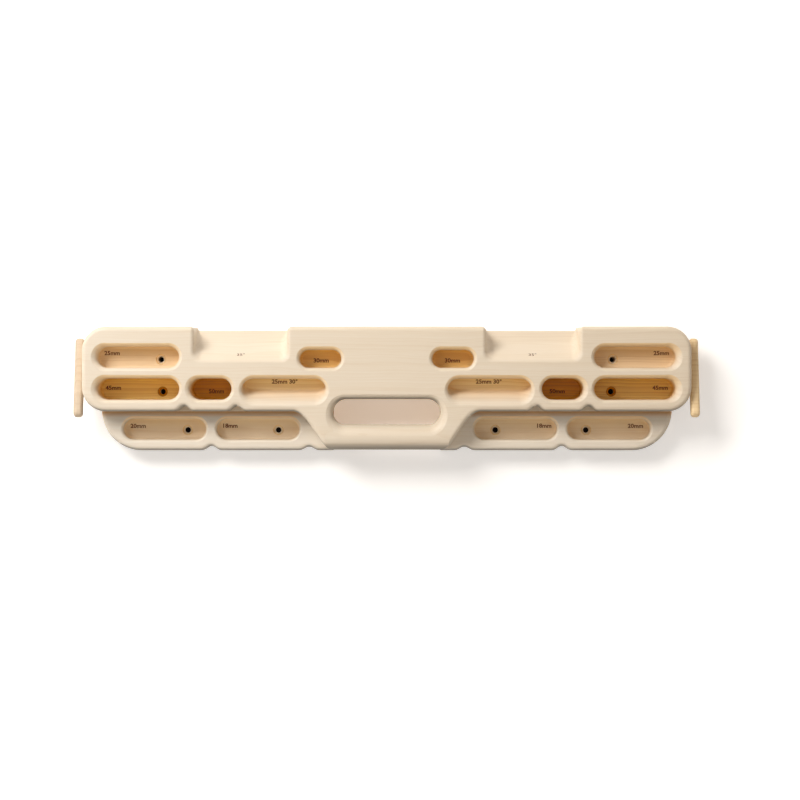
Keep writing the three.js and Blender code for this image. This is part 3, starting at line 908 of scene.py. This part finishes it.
cleat_screws = {}
for side, side_name in sides.items():
    for level, height in screw_heights.items():
        seat = screw_seat(side, height)
        carve(cleats[side], [seat])
        for node in ("back_upper_stave", f"back_middle_stave_{side_name}"):
            carve(staves[node], [seat])
        bpy.data.objects.remove(seat)
        cleat_screws[f"cleat_screw_{level}_{side_name}"] = cleat_screw(side, height)
print(len(cleat_screws), "cleat screws")

# %% [markdown]
# ## Finishing the meshes
# The pieces have been modelled in millimetres with y up. One turn and one scale put them where
# the CAD pieces are. Rounded edges should look smooth and sawn edges crisp, so the faces are
# smooth except where they meet at more than thirty degrees. A Weighted Normal modifier keeps
# the large flats flat although they share corners with the roundings. Each point of a stave also
# gets four numbers for light and shade that are painted into the wood's colour. The first tells how
# deep in a pocket it lies, because the wood is painted warmer and darker there as shade: light only
# leaves a pocket after it has met the wood several times. The second tells how high in the pocket
# it lies, for a painted shadow under the pocket's top, the third whether it is on the mouth's upper
# side, for painted bounce light there, and the fourth whether it is outside the pockets, where the
# undersides get painted shade.

# %% Find the pocket that a point is in
half_gap = 6.0


def room_at(x, y):
    """The name of the pocket whose mouth or inside is there, or None."""
    for name, room in rooms.items():
        beside = room.left - half_gap < abs(x) < room.right + half_gap
        if beside and room.top - room.height - room.mouth < y < room.top + room.mouth:
            return name
    return None


# %% Note how deep in a pocket a point lies
# How deep the painted shade of each floor is, where the face has none and 1 is the deepest
floor_painted_shades = {
    "edge_25": 0.45,
    "edge_45": 0.84,
    "edge_50": 0.94,
    "edge_30": 0.70,
    "edge_20": 0.34,
    "edge_18": 0.32,
    "slanted_25": 0.56,
}
slanted_power = 5
# The countersinks get painted shade as well: a dark rim round each, dark brown in the deep pockets, and
# paler than the floor in the shallow ones
pale_sink = 0.15
dark_sink_shade = 0.94
dark_sink_depth = 30.0
rim_shade = 1.0
rim_reach = 1.5 * rim_width


def painted_shade_at(x, y, out):
    """Painted shade: grows from 0 on the faces to the floor's shade at the bottom of a pocket."""
    if out < clear:
        return 0
    for sink_x, sink_y, floor in screw_places:
        from_middle = math.hypot(abs(x) - sink_x, y - sink_y)
        if from_middle < sink_radius - rim_width / 2 and out < floor - rim_depth / 2:
            in_rim = from_middle > sink_radius - rim_reach
            deep = y > tier_bottom and front_face - floor > dark_sink_depth
            return rim_shade if in_rim else dark_sink_shade if deep else pale_sink
    name = room_at(x, y)
    if name is None:
        return 0
    share = min(max((rooms[name].face - out) / rooms[name].depth, 0), 1)
    return floor_painted_shades[name] * (share ** slanted_power if name == "slanted_25" else share)


# %% Note where in its pocket a point lies
def height_at(x, y):
    """Grows from -1 at the bottom of a pocket to 1 at its top, and is 0 outside."""
    name = room_at(x, y)
    if name is None:
        return 0
    return min(max((y - rooms[name].top) / rooms[name].height * 2 + 1, -1), 1)


def under_lip(x, y, out):
    """Grows to 1 on the upper side of a pocket's mouth, which faces down."""
    name = room_at(x, y)
    if name is None or out > rooms[name].face - skin / 2:
        return 0
    room = rooms[name]
    radius = room.height / 2
    across = abs(x) - min(max(abs(x), room.left + radius), room.right - radius)
    up = y - room.top + radius
    from_core = math.hypot(across, up)
    return min(max(from_core - radius, 0), 1) * max(up, 0) / max(from_core, radius)


# %% Store the notes with a piece
def note_shades(solid):
    """Stores for the wood how every point is shaded, and where it lies in or outside a pocket."""
    places = [point.co * mm_per_metre for point in solid.data.vertices]
    notes = {
        "pocket_shade": [painted_shade_at(p.x, p.z, -p.y) for p in places],
        "pocket_height": [height_at(p.x, p.z) for p in places],
        "under_lip": [under_lip(p.x, p.z, -p.y) for p in places],
        "outside": [float(room_at(p.x, p.z) is None) for p in places],
    }
    for name, values in notes.items():
        solid.data.attributes.new(name, "FLOAT", "POINT").data.foreach_set("value", values)


# %% Move the pieces into the CAD model's frame
sharp_angle = math.radians(30)
flat_weight = 80
frame_weld = 1e-6
to_frame = Matrix.Rotation(math.radians(90), 4, "X") @ Matrix.Scale(1 / mm_per_metre, 4)


def finish(solid, name, nodes):
    """Gives a piece its name and place, and lets it stand for CAD pieces."""
    solid.name = name
    solid.data.name = name
    bm = bmesh.new()
    bm.from_mesh(solid.data)
    bmesh.ops.transform(bm, matrix=to_frame, verts=bm.verts)
    bmesh.ops.remove_doubles(bm, verts=bm.verts, dist=frame_weld)
    bmesh.ops.dissolve_degenerate(bm, edges=bm.edges, dist=frame_weld)
    many = [face for face in bm.faces if len(face.verts) > 4]
    bmesh.ops.triangulate(bm, faces=many)
    open_edges = sum(not edge.is_manifold for edge in bm.edges)
    bm.to_mesh(solid.data)
    bm.free()
    solid.data.shade_smooth()
    solid.data.set_sharp_from_angle(angle=sharp_angle)
    weighted = solid.modifiers.new("flats", "WEIGHTED_NORMAL")
    weighted.keep_sharp = True
    weighted.weight = flat_weight
    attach(solid, "root")
    if nodes:
        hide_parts(*nodes)
    print(f"{name}: {len(solid.data.polygons)} faces, {open_edges} open edges")
    return solid


pieces = {}
for node, piece in staves.items():
    pieces[node] = finish(piece, node.replace("_stave", "_plank"), [node])
    note_shades(pieces[node])
for side, side_name in sides.items():
    node = f"band_cleat_{side_name}"
    pieces[node] = finish(cleats[side], f"soft_edged_cleat_{side_name}", [node])
for node, piece in cleat_screws.items():
    pieces[node] = finish(piece, node.replace("cleat_screw", "hex_screw"), [node])

# %% [markdown]
# ## Depth marks
# Small brown marks in the pockets give their depth, and on the slopers the angle, as the ticks
# on a ruler do. On the wood they are burned in, so they are hardly raised. Here each mark is
# text made into a mesh, a tenth of a millimetre thick, that lies on the wood.

# %% Turn a word into a flat mesh
mark_size = 6.6
mark_width_share = 1.08
mark_boldness = 0.20
mark_thickness = 0.05
letter_steps = 3


def mark(words, x, y, out, tilt=0.0, boldness=mark_boldness):
    """A flat word with its middle at a place. A tilt leans its top back towards the wall."""
    text = bpy.data.curves.new("mark", "FONT")
    text.body = words
    text.size = mark_size
    text.offset = boldness
    text.extrude = mark_thickness
    text.align_x = "CENTER"
    text.align_y = "CENTER"
    text.resolution_u = letter_steps
    holder = bpy.data.objects.new("mark", text)
    bpy.context.scene.collection.objects.link(holder)
    bpy.context.view_layer.update()
    drawn = holder.evaluated_get(bpy.context.evaluated_depsgraph_get())
    bm = bmesh.new()
    bm.from_mesh(bpy.data.meshes.new_from_object(drawn))
    bmesh.ops.remove_doubles(bm, verts=bm.verts, dist=weld)
    bpy.data.objects.remove(holder)
    place = Matrix.Translation((x, y, out)) @ Matrix.Rotation(-tilt, 4, "X")
    wider = Matrix.Diagonal((mark_width_share, 1, 1, 1))
    bmesh.ops.transform(bm, matrix=place @ wider, verts=bm.verts)
    return new_solid("mark", bm)


# %% Write the marks
# Distance from the middle, height and distance from the wall of each mark on the right
mark_places = {
    "25mm": (317.6, 41.0, floor_of("edge_25")),
    "45mm": (318.5, 1.0, floor_of("edge_45")),
    "50mm": (198.8, -3.0, floor_of("edge_50")),
    "30mm": (76.0, 32.6, layer_joint),
    "25mm 30\u00b0": (118.0, 8.1, floor_of("slanted_25")),
    "20mm": (290.2, -43.5, floor_of("edge_20")),
    "18mm": (183.0, -43.2, floor_of("edge_18")),
}
sloper_mark_back = 10.0
faint_boldness = 0.03
marks = {}
for words, (x, y, out) in mark_places.items():
    for side, side_name in sides.items():
        label = words.replace(" ", "_").replace("\u00b0", "_degrees")
        marks[f"depth_mark_{label}_{side_name}"] = mark(words, side * x, y, out)
for side, side_name in sides.items():
    x = side * sloper_middle
    y = sloper_floor(sloper_mark_back)
    out = front_face - sloper_mark_back
    tilt = math.radians(slope_turn)
    marks[f"angle_mark_{side_name}"] = mark(f"{sloper_angle}\u00b0", x, y, out, tilt, faint_boldness)
for name, piece in marks.items():
    pieces[name] = finish(piece, name, [])
print(len(marks), "marks")

# %% [markdown]
# ## Wood
# The board is a pale, close-grained wood that was sanded and oiled. Such a surface has growth
# rings, fine fibres along the length, and broad streaks of tone, all of them weak. A picture of
# wood would stop at the edge of each face, but a pattern worked out from the place in space
# runs on round every edge and into every pocket, as the rings of a real plank do. Over it the
# wood is painted lighter on the left and darker on the right, as the lamp's light falls off, and
# four tints of painted light and shade lie on it. The wood is painted browner the deeper a pocket
# is and the higher in it a point lies, as shade; warmer and lighter on the upper side of its
# mouth, as bounce light; and brown along the top of the lower tier, as shade in the dark corner
# under the upper one. That last tint goes through to the board's back. The undersides outside
# the pockets are painted darker as shade.

# %% Connect shader nodes
def new_material(name):
    material = bpy.data.materials.new(name)
    material.use_nodes = True
    return material, material.node_tree.nodes["Principled BSDF"]


def join_to(material, output, node, socket):
    material.node_tree.links.new(output, node.inputs[socket])


def wire(material, kind, inputs, **settings):
    """Adds a shader node. Its inputs are values or other nodes' outputs."""
    node = material.node_tree.nodes.new(kind)
    for name, value in settings.items():
        setattr(node, name, value)
    for name, value in inputs.items():
        if isinstance(value, bpy.types.NodeSocket):
            material.node_tree.links.new(value, node.inputs[name])
        else:
            node.inputs[name].default_value = value
    return node


def calculate(material, operation, *values):
    node = wire(material, "ShaderNodeMath", dict(enumerate(values)), operation=operation)
    return node.outputs["Value"]


# %% Read places and lay noise over them
def object_place(material):
    return wire(material, "ShaderNodeTexCoord", {}).outputs["Object"]


def split(material, vector):
    return wire(material, "ShaderNodeSeparateXYZ", {"Vector": vector}).outputs


def length_of(material, vector):
    node = wire(material, "ShaderNodeVectorMath", {0: vector}, operation="LENGTH")
    return node.outputs["Value"]


def stretched(material, place, scale, location=(0, 0, 0)):
    node = wire(material, "ShaderNodeMapping", {"Vector": place, "Location": location, "Scale": scale})
    return node.outputs["Vector"]


def noise(material, place, along, across, detail, roughness=0.6):
    """Noise that changes so many times a metre along the grain and across it."""
    inputs = {
        "Vector": stretched(material, place, (along, across, across)),
        "Scale": 1,
        "Detail": detail,
        "Roughness": roughness,
    }
    return wire(material, "ShaderNodeTexNoise", inputs).outputs["Fac"]


def noted(material, name):
    """One of the numbers that note_shades stored."""
    return wire(material, "ShaderNodeAttribute", {}, attribute_name=name).outputs["Fac"]


# %% Turn values into shares and colours
def ramp_between(material, value, start, end, low=0, high=1, smooth=False):
    """Low up to the start, high from the end on, and between the two in between."""
    inputs = {"Value": value, "From Min": start, "From Max": end, "To Min": low, "To Max": high}
    kind = "SMOOTHSTEP" if smooth else "LINEAR"
    return wire(material, "ShaderNodeMapRange", inputs, interpolation_type=kind).outputs["Result"]


def coloured(material, value, colours):
    """Turns a value into a colour. Colours maps places between 0 and 1 to colours."""
    ramp = wire(material, "ShaderNodeValToRGB", {"Fac": value})
    stops = ramp.color_ramp.elements
    while len(stops) < len(colours):
        stops.new(0.5)
    for stop, (position, colour) in zip(stops, sorted(colours.items())):
        stop.position = position
        stop.color = colour
    return ramp.outputs["Color"]


# %% Draw the growth rings
ring_spacing = 0.0042
ring_wander = 0.016
heart_stretch = 0.02
wander_noise = {"along": 5, "across": 14, "detail": 2}
year_noise_scale = 0.3
year_spread = 3
late_starts = 0.35
late_full = 0.95
late_ends = 0.97


def growth_rings(material, place, heart):
    """The dark late wood of each year, round a heart that wanders a little along the plank."""
    across = stretched(material, place, (heart_stretch, 1, 1), (0, -heart[0], -heart[1]))
    length = length_of(material, across)
    wander = calculate(material, "MULTIPLY", noise(material, place, **wander_noise), ring_wander)
    years = calculate(material, "DIVIDE", calculate(material, "ADD", length, wander), ring_spacing)
    inputs = {"W": years, "Scale": year_noise_scale}
    uneven = wire(material, "ShaderNodeTexNoise", inputs, noise_dimensions="1D").outputs["Fac"]
    years = calculate(material, "MULTIPLY_ADD", uneven, year_spread, years)
    season = calculate(material, "FRACT", years)
    late = ramp_between(material, season, late_starts, late_full, smooth=True)
    return calculate(material, "MULTIPLY", late, calculate(material, "LESS_THAN", season, late_ends))


# %% Paint shade on the undersides and in the corner between the tiers
underside_shade_strength = 0.66
underside_shade_starts = -0.35
underside_shade_full = -0.95
corner_shade_height = 0.009
tier_margin = 1.0


def painted_underside_shade(material):
    """One, and less on undersides outside the pockets, where shade is painted."""
    facing = wire(material, "ShaderNodeNewGeometry", {}).outputs["Normal"]
    under = ramp_between(material, split(material, facing)["Z"], underside_shade_starts, underside_shade_full, smooth=True)
    darkened = calculate(material, "MULTIPLY", under, noted(material, "outside"))
    return calculate(material, "MULTIPLY_ADD", darkened, -underside_shade_strength, 1)


def corner(material, spot):
    """Painted shade: grows to 1 along the top of the lower tier, in the corner under the upper one, on
    its face and through to its back.
    """
    parts = split(material, spot)
    top = tier_bottom / mm_per_metre
    near = ramp_between(material, parts["Z"], top - corner_shade_height, top, smooth=True)
    below = calculate(material, "MULTIPLY", near, calculate(material, "LESS_THAN", parts["Z"], top))
    just_in_front = -(layer_joint + tier_margin) / mm_per_metre
    on_back = calculate(material, "GREATER_THAN", parts["Y"], just_in_front)
    return calculate(material, "MULTIPLY", below, on_back)


# %% Choose the wood's colours and tints
no_tint = (1, 1, 1, 1)
wood_colours = {
    0.0: (0.56, 0.39, 0.235, 1),
    0.5: (0.79, 0.66, 0.495, 1),
    1.0: (0.89, 0.81, 0.69, 1),
}
# Painted shade and light for the pockets: tints that warm and darken the deeper floors, lift some of
# them, and draw the dark countersink rims
painted_pocket_shade_colours = {
    0.0: no_tint,
    0.34: (1.09, 0.97, 0.79, 1),
    0.45: (1.06, 0.90, 0.67, 1),
    0.56: (1.20, 1.06, 0.74, 1),
    0.70: (1.11, 0.82, 0.345, 1),
    0.84: (1.23, 0.99, 0.38, 1),
    0.94: (0.87, 0.46, 0.004, 1),
    1.0: (0.30, 0.22, 0.14, 1),
}
# Painted shadow in the pockets: darker and browner towards a pocket's top, under its upper wall, and
# lighter towards its bottom
pocket_height_shade_colours = {
    0.08: (1.08, 1.20, 1.60, 1),
    0.275: (0.98, 1.03, 1.14, 1),
    0.5: no_tint,
    0.73: (0.99, 0.95, 0.77, 1),
    0.92: (0.97, 0.92, 0.58, 1),
}
# Painted bounce light on the upper side of a pocket's mouth, which faces down: warmer and lighter
lip_bounce_light_colours = {0.0: no_tint, 1.0: (1.12, 0.94, 0.66, 1)}
# Painted shadow along the top of the lower tier, in the corner under the upper tier
corner_shade_colours = {0.0: no_tint, 1.0: (0.70, 0.42, 0.20, 1)}
print(len(wood_colours), "colours of wood")

# %% Make the wood of one stave
ring_contrast = 0.08
pocket_ring_contrast = 0.25
fibre_noise = {"along": 22, "across": 1500, "detail": 4, "roughness": 0.65}
fibre_contrast = 0.4
streak_noise = {"along": 3, "across": 120, "detail": 3}
streak_contrast = 0.25
# Painted light: the wood is lighter on the left and darker on the right, as the lamp's light falls off
painted_light_falloff = 0.22
# How much of the fibre noise goes into the roughness, and the least roughness
wood_roughness = (0.16, 0.42)
fibre_bump = {"Strength": 0.25, "Distance": 0.0002}


def wood(name, shift, heart, tone, shadow_browning=0.0):
    """Wood of one plank. Shift picks the part of the tree, and heart is the pith's (y, z)."""
    material, surface = new_material(name)
    spot = object_place(material)
    place = stretched(material, spot, (1, 1, 1), shift)
    pocket = noted(material, "pocket_shade")
    shade = calculate(material, "ADD", pocket, shadow_browning)

    fibre = noise(material, place, **fibre_noise)
    streak = noise(material, place, **streak_noise)
    late = growth_rings(material, place, heart)
    late_share = calculate(material, "MULTIPLY_ADD", shade, pocket_ring_contrast, ring_contrast)
    figure = calculate(material, "MULTIPLY_ADD", split(material, spot)["X"], -painted_light_falloff, tone)
    for pattern, contrast in ((fibre, fibre_contrast), (streak, streak_contrast)):
        even = calculate(material, "SUBTRACT", pattern, 0.5)
        figure = calculate(material, "MULTIPLY_ADD", even, contrast, figure)
    rings = calculate(material, "MULTIPLY", late, late_share)
    figure = calculate(material, "SUBTRACT", figure, rings)

    # Painted shade by height in the pocket, stronger where the pocket's painted shade is deeper
    up = calculate(material, "MULTIPLY", pocket, noted(material, "pocket_height"))
    tints = (
        (shade, painted_pocket_shade_colours),
        (calculate(material, "MULTIPLY_ADD", up, 0.5, 0.5), pocket_height_shade_colours),
        (noted(material, "under_lip"), lip_bounce_light_colours),
        (corner(material, spot), corner_shade_colours),
    )
    colour = coloured(material, figure, wood_colours)
    for value, colours in tints:
        inputs = {0: colour, 1: coloured(material, value, colours)}
        tinted = wire(material, "ShaderNodeVectorMath", inputs, operation="MULTIPLY")
        colour = tinted.outputs["Vector"]
    # Painted shade: undersides outside the pockets are darkened
    inputs = {0: colour, "Scale": painted_underside_shade(material)}
    shaded_below = wire(material, "ShaderNodeVectorMath", inputs, operation="SCALE")
    join_to(material, shaded_below.outputs["Vector"], surface, "Base Color")
    join_to(material, calculate(material, "MULTIPLY_ADD", fibre, *wood_roughness), surface, "Roughness")
    bump = wire(material, "ShaderNodeBump", {"Height": fibre, **fibre_bump})
    join_to(material, bump.outputs["Normal"], surface, "Normal")
    return material


# %% Give each stave its own plank
# Where each plank grew, its heart (y, z) in metres, and how light it is. The lower tier's planks are
# made lighter as painted light, where the upper tier shades them, and the left cleat darker as
# painted shade, where the lamp is nearest.
planks = {
    "front_top_stave": ((0.10, 0.02, 0.01), (0.09, -0.16), 0.60),
    "front_middle_stave": ((1.30, 0.13, 0.47), (0.20, -0.11), 0.59),
    "front_bar_stave": ((1.92, 0.44, 0.15), (0.10, 0.12), 0.58),
    "back_top_stave": ((2.40, 0.25, 0.36), (0.14, -0.12), 0.55),
    "back_upper_stave": ((3.10, 0.52, 0.05), (0.08, 0.13), 0.55),
    "back_middle_stave_left": ((3.70, 0.18, 0.61), (0.17, -0.15), 0.54),
    "back_middle_stave_right": ((3.40, 0.11, 0.57), (0.16, -0.12), 0.55),
    "back_lower_stave_left": ((4.20, 0.37, 0.29), (0.11, 0.10), 0.76),
    "back_lower_stave_right": ((4.90, 0.06, 0.53), (0.15, -0.13), 0.80),
    "band_cleat_left": ((5.40, 0.41, 0.12), (0.06, 0.10), 0.16),
    "band_cleat_right": ((6.10, 0.22, 0.34), (0.07, -0.09), 0.70),
}
# Painted shadow: the right cleat is browned where the board shades it
painted_shadow_browns = {"band_cleat_right": 0.50}
for node, (shift, heart, tone) in planks.items():
    shadow_browning = painted_shadow_browns.get(node, 0)
    pieces[node].data.materials.clear()
    pieces[node].data.materials.append(wood(f"wood of {node}", shift, heart, tone, shadow_browning))
print(len(planks), "planks")

# %% [markdown]
# ## Burned marks and screws
# A mark that a laser burned is dark brown and a little uneven, because the soft wood between
# the rings chars deeper. The screws are zinc-plated steel: nearly colourless, with a cloudy
# gloss and fine scratches from the driver.

# %% Make the burned colour and the steel
char_noise = {"along": 700, "across": 2500, "detail": 3}
char_colours = {0.3: (0.09, 0.020, 0.004, 1), 0.7: (0.19, 0.055, 0.012, 1)}
char_roughness = 0.75
cloud_noise = {"along": 500, "across": 500, "detail": 3}
scratch_noise = {"along": 300, "across": 6000, "detail": 4}
zinc_colours = {0.0: (0.50, 0.52, 0.55, 1), 1.0: (0.74, 0.75, 0.76, 1)}
zinc_roughness = (0.3, 0.18)
scratch_bump = {"Strength": 0.2, "Distance": 0.0001}


def burned(name):
    material, surface = new_material(name)
    char = noise(material, object_place(material), **char_noise)
    join_to(material, coloured(material, char, char_colours), surface, "Base Color")
    surface.inputs["Roughness"].default_value = char_roughness
    return material


def zinc(name):
    material, surface = new_material(name)
    place = object_place(material)
    cloud = noise(material, place, **cloud_noise)
    scratch = noise(material, place, **scratch_noise)
    join_to(material, coloured(material, cloud, zinc_colours), surface, "Base Color")
    join_to(material, calculate(material, "MULTIPLY_ADD", cloud, *zinc_roughness), surface, "Roughness")
    bump = wire(material, "ShaderNodeBump", {"Height": scratch, **scratch_bump})
    join_to(material, bump.outputs["Normal"], surface, "Normal")
    surface.inputs["Metallic"].default_value = 1
    return material


char_brown = burned("burned wood")
zinc_steel = zinc("zinc-plated steel")
for name, piece in pieces.items():
    if "mark" in name:
        piece.data.materials.append(char_brown)
    if "screw" in name:
        piece.data.materials.append(zinc_steel)

# %% [markdown]
# ## Wall, floor and light
# The board hangs on a white wall. The wall has to look white and still carry the board's soft
# shadow, so it is a pale, slightly warm matt surface with a glow that only the camera and
# reflections see, weak near the board and full further off. From behind it is clear, and rays
# that meet it within a few millimetres pass it, so that the board's back can be looked at and
# is lit. The light is a soft lamp near the upper left and a weak, warm surrounding, which is
# brighter behind the wall.

# %% Make a matt material that glows
short_ray = 0.004
glow_starts = 0.42
glow_ends = 0.60
oval_share = 2.2
warm_starts = 0.11
warm_ends = 0.15
# Painted bounce light: inside the hole the wall's glow is tinted warm, as if lit by light off the wood
hole_bounce_glow_tint = (0.98, 0.72, 0.53, 1)


def seen_directly(material):
    """One for rays from the camera, from reflections and through glass, and zero for others."""
    path = wire(material, "ShaderNodeLightPath", {})
    seen = calculate(material, "MAXIMUM", path.outputs["Is Camera Ray"], path.outputs["Is Glossy Ray"])
    return calculate(material, "MAXIMUM", seen, path.outputs["Is Transmission Ray"])


def stage_material(
    name, colour, near_glow, far_glow, clear_behind=False, lets_short_rays_pass=False,
):
    """A matt material. Its glow grows from near the board to further off, and is tinted warm in the hole
    as painted bounce light.
    """
    material = bpy.data.materials.new(name)
    material.use_nodes = True
    material.node_tree.nodes.clear()
    matt = wire(material, "ShaderNodeBsdfDiffuse", {"Color": colour}).outputs["BSDF"]
    distance = length_of(material, stretched(material, object_place(material), (1, 1, oval_share)))
    growing = ramp_between(material, distance, glow_starts, glow_ends, near_glow, far_glow)
    strength = calculate(material, "MULTIPLY", seen_directly(material), growing)
    outside_hole = ramp_between(material, distance, warm_starts, warm_ends)
    tint = coloured(material, outside_hole, {0.0: hole_bounce_glow_tint, 1.0: no_tint})
    glow = wire(material, "ShaderNodeEmission", {"Color": tint, "Strength": strength}).outputs["Emission"]
    shown = wire(material, "ShaderNodeAddShader", {0: matt, 1: glow}).outputs["Shader"]
    if clear_behind:
        behind = wire(material, "ShaderNodeNewGeometry", {}).outputs["Backfacing"]
        if lets_short_rays_pass:
            length = wire(material, "ShaderNodeLightPath", {}).outputs["Ray Length"]
            short = calculate(material, "LESS_THAN", length, short_ray)
            behind = calculate(material, "MAXIMUM", behind, short)
        glass = wire(material, "ShaderNodeBsdfTransparent", {}).outputs["BSDF"]
        mixed = wire(material, "ShaderNodeMixShader", {0: behind, 1: shown, 2: glass})
        shown = mixed.outputs["Shader"]
    wire(material, "ShaderNodeOutputMaterial", {"Surface": shown})
    return material


# %% Build the wall and the floor
wall_reach = 3.0
wall_gap = 0.0004
wall_glow = 0.40
full_glow = 0.9
wall_colour = (0.93, 0.895, 0.85, 1)
floor_height = -0.55
floor_glow = 0.7
floor_colour = (0.45, 0.445, 0.44, 1)


def stage_piece(name, bm, material):
    mesh = bpy.data.meshes.new(name)
    bm.to_mesh(mesh)
    bm.free()
    mesh.materials.append(material)
    piece = bpy.data.objects.new(name, mesh)
    bpy.context.scene.collection.objects.link(piece)
    piece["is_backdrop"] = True


def stage_plane(name, place, material):
    bm = bmesh.new()
    bmesh.ops.create_grid(bm, x_segments=1, y_segments=1, size=wall_reach)
    bmesh.ops.transform(bm, matrix=place, verts=bm.verts)
    stage_piece(name, bm, material)


wall_turn = Matrix.Translation((0, wall_gap, 0)) @ Matrix.Rotation(math.radians(90), 4, "X")
wall_white = stage_material(
    "wall white", wall_colour, wall_glow, full_glow, clear_behind=True, lets_short_rays_pass=True,
)
stage_plane("wall", wall_turn, wall_white)
floor_place = Matrix.Translation((0, 0, floor_height))
floor_white = stage_material("floor white", floor_colour, floor_glow, floor_glow)
stage_plane("floor", floor_place, floor_white)

# %% Lay dark discs of painted shade on the wall behind the board's screw holes
# Painted shade: dark discs on the wall make the deep screw bores look black
bore_shade_colour = (0.02, 0.017, 0.015, 1)
drilled_radius = 4.5
drilled_points = 32

bm = bmesh.new()
for x, y, out in screw_places:
    for side in sides:
        place = to_frame @ Matrix.Translation((side * x, y, -mm_per_metre * wall_gap / 2))
        bmesh.ops.create_circle(
            bm, cap_ends=True, segments=drilled_points, radius=drilled_radius, matrix=place,
        )
bm.normal_update()
bmesh.ops.reverse_faces(bm, faces=[face for face in bm.faces if face.normal.y > 0])
print(len(bm.faces), "drill holes in the wall")
bore_shade = stage_material("painted bore shade", bore_shade_colour, 0, 0, clear_behind=True)
stage_piece("wall_bore_shade_discs", bm, bore_shade)

# %% Light the board
key_place = Vector((-1.33, -1.82, 1.47))
key_size = 1.4
key_power = 63.0
surround_in_front = 0.32
surround_behind = 0.8
surround_blend = 0.1
surround_colour = (1, 0.90, 0.80, 1)

lamp = bpy.data.lights.new("key", "AREA")
lamp.shape = "DISK"
lamp.size = key_size
lamp.energy = key_power
key = bpy.data.objects.new("key", lamp)
key.location = key_place
key.rotation_euler = (-key_place).to_track_quat("-Z", "Y").to_euler()
bpy.context.scene.collection.objects.link(key)

world = bpy.data.worlds.new("surround")
world.use_nodes = True
bpy.context.scene.world = world
background = world.node_tree.nodes["Background"]
seen = seen_directly(world)
direction = wire(world, "ShaderNodeTexCoord", {}).outputs["Generated"]
behind_wall = split(world, direction)["Y"]
surround = ramp_between(world, behind_wall, 0, surround_blend, surround_in_front, surround_behind)
join_to(world, ramp_between(world, seen, 0, 1, surround), background, "Strength")
join_to(world, coloured(world, seen, {0.0: surround_colour, 1.0: no_tint}), background, "Color")
bpy.context.scene.view_settings.view_transform = "Standard"

# %% [markdown]
# ## The size
# The finished pieces must stay inside the CAD model's box, so both boxes are printed side by side.

# %% Print the boxes and finish
made_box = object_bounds()
sizes = {"cad": [list(corner) for corner in cad_box], "visual": [list(corner) for corner in made_box]}
print("CAD box", sizes["cad"])
print("visual box", sizes["visual"])
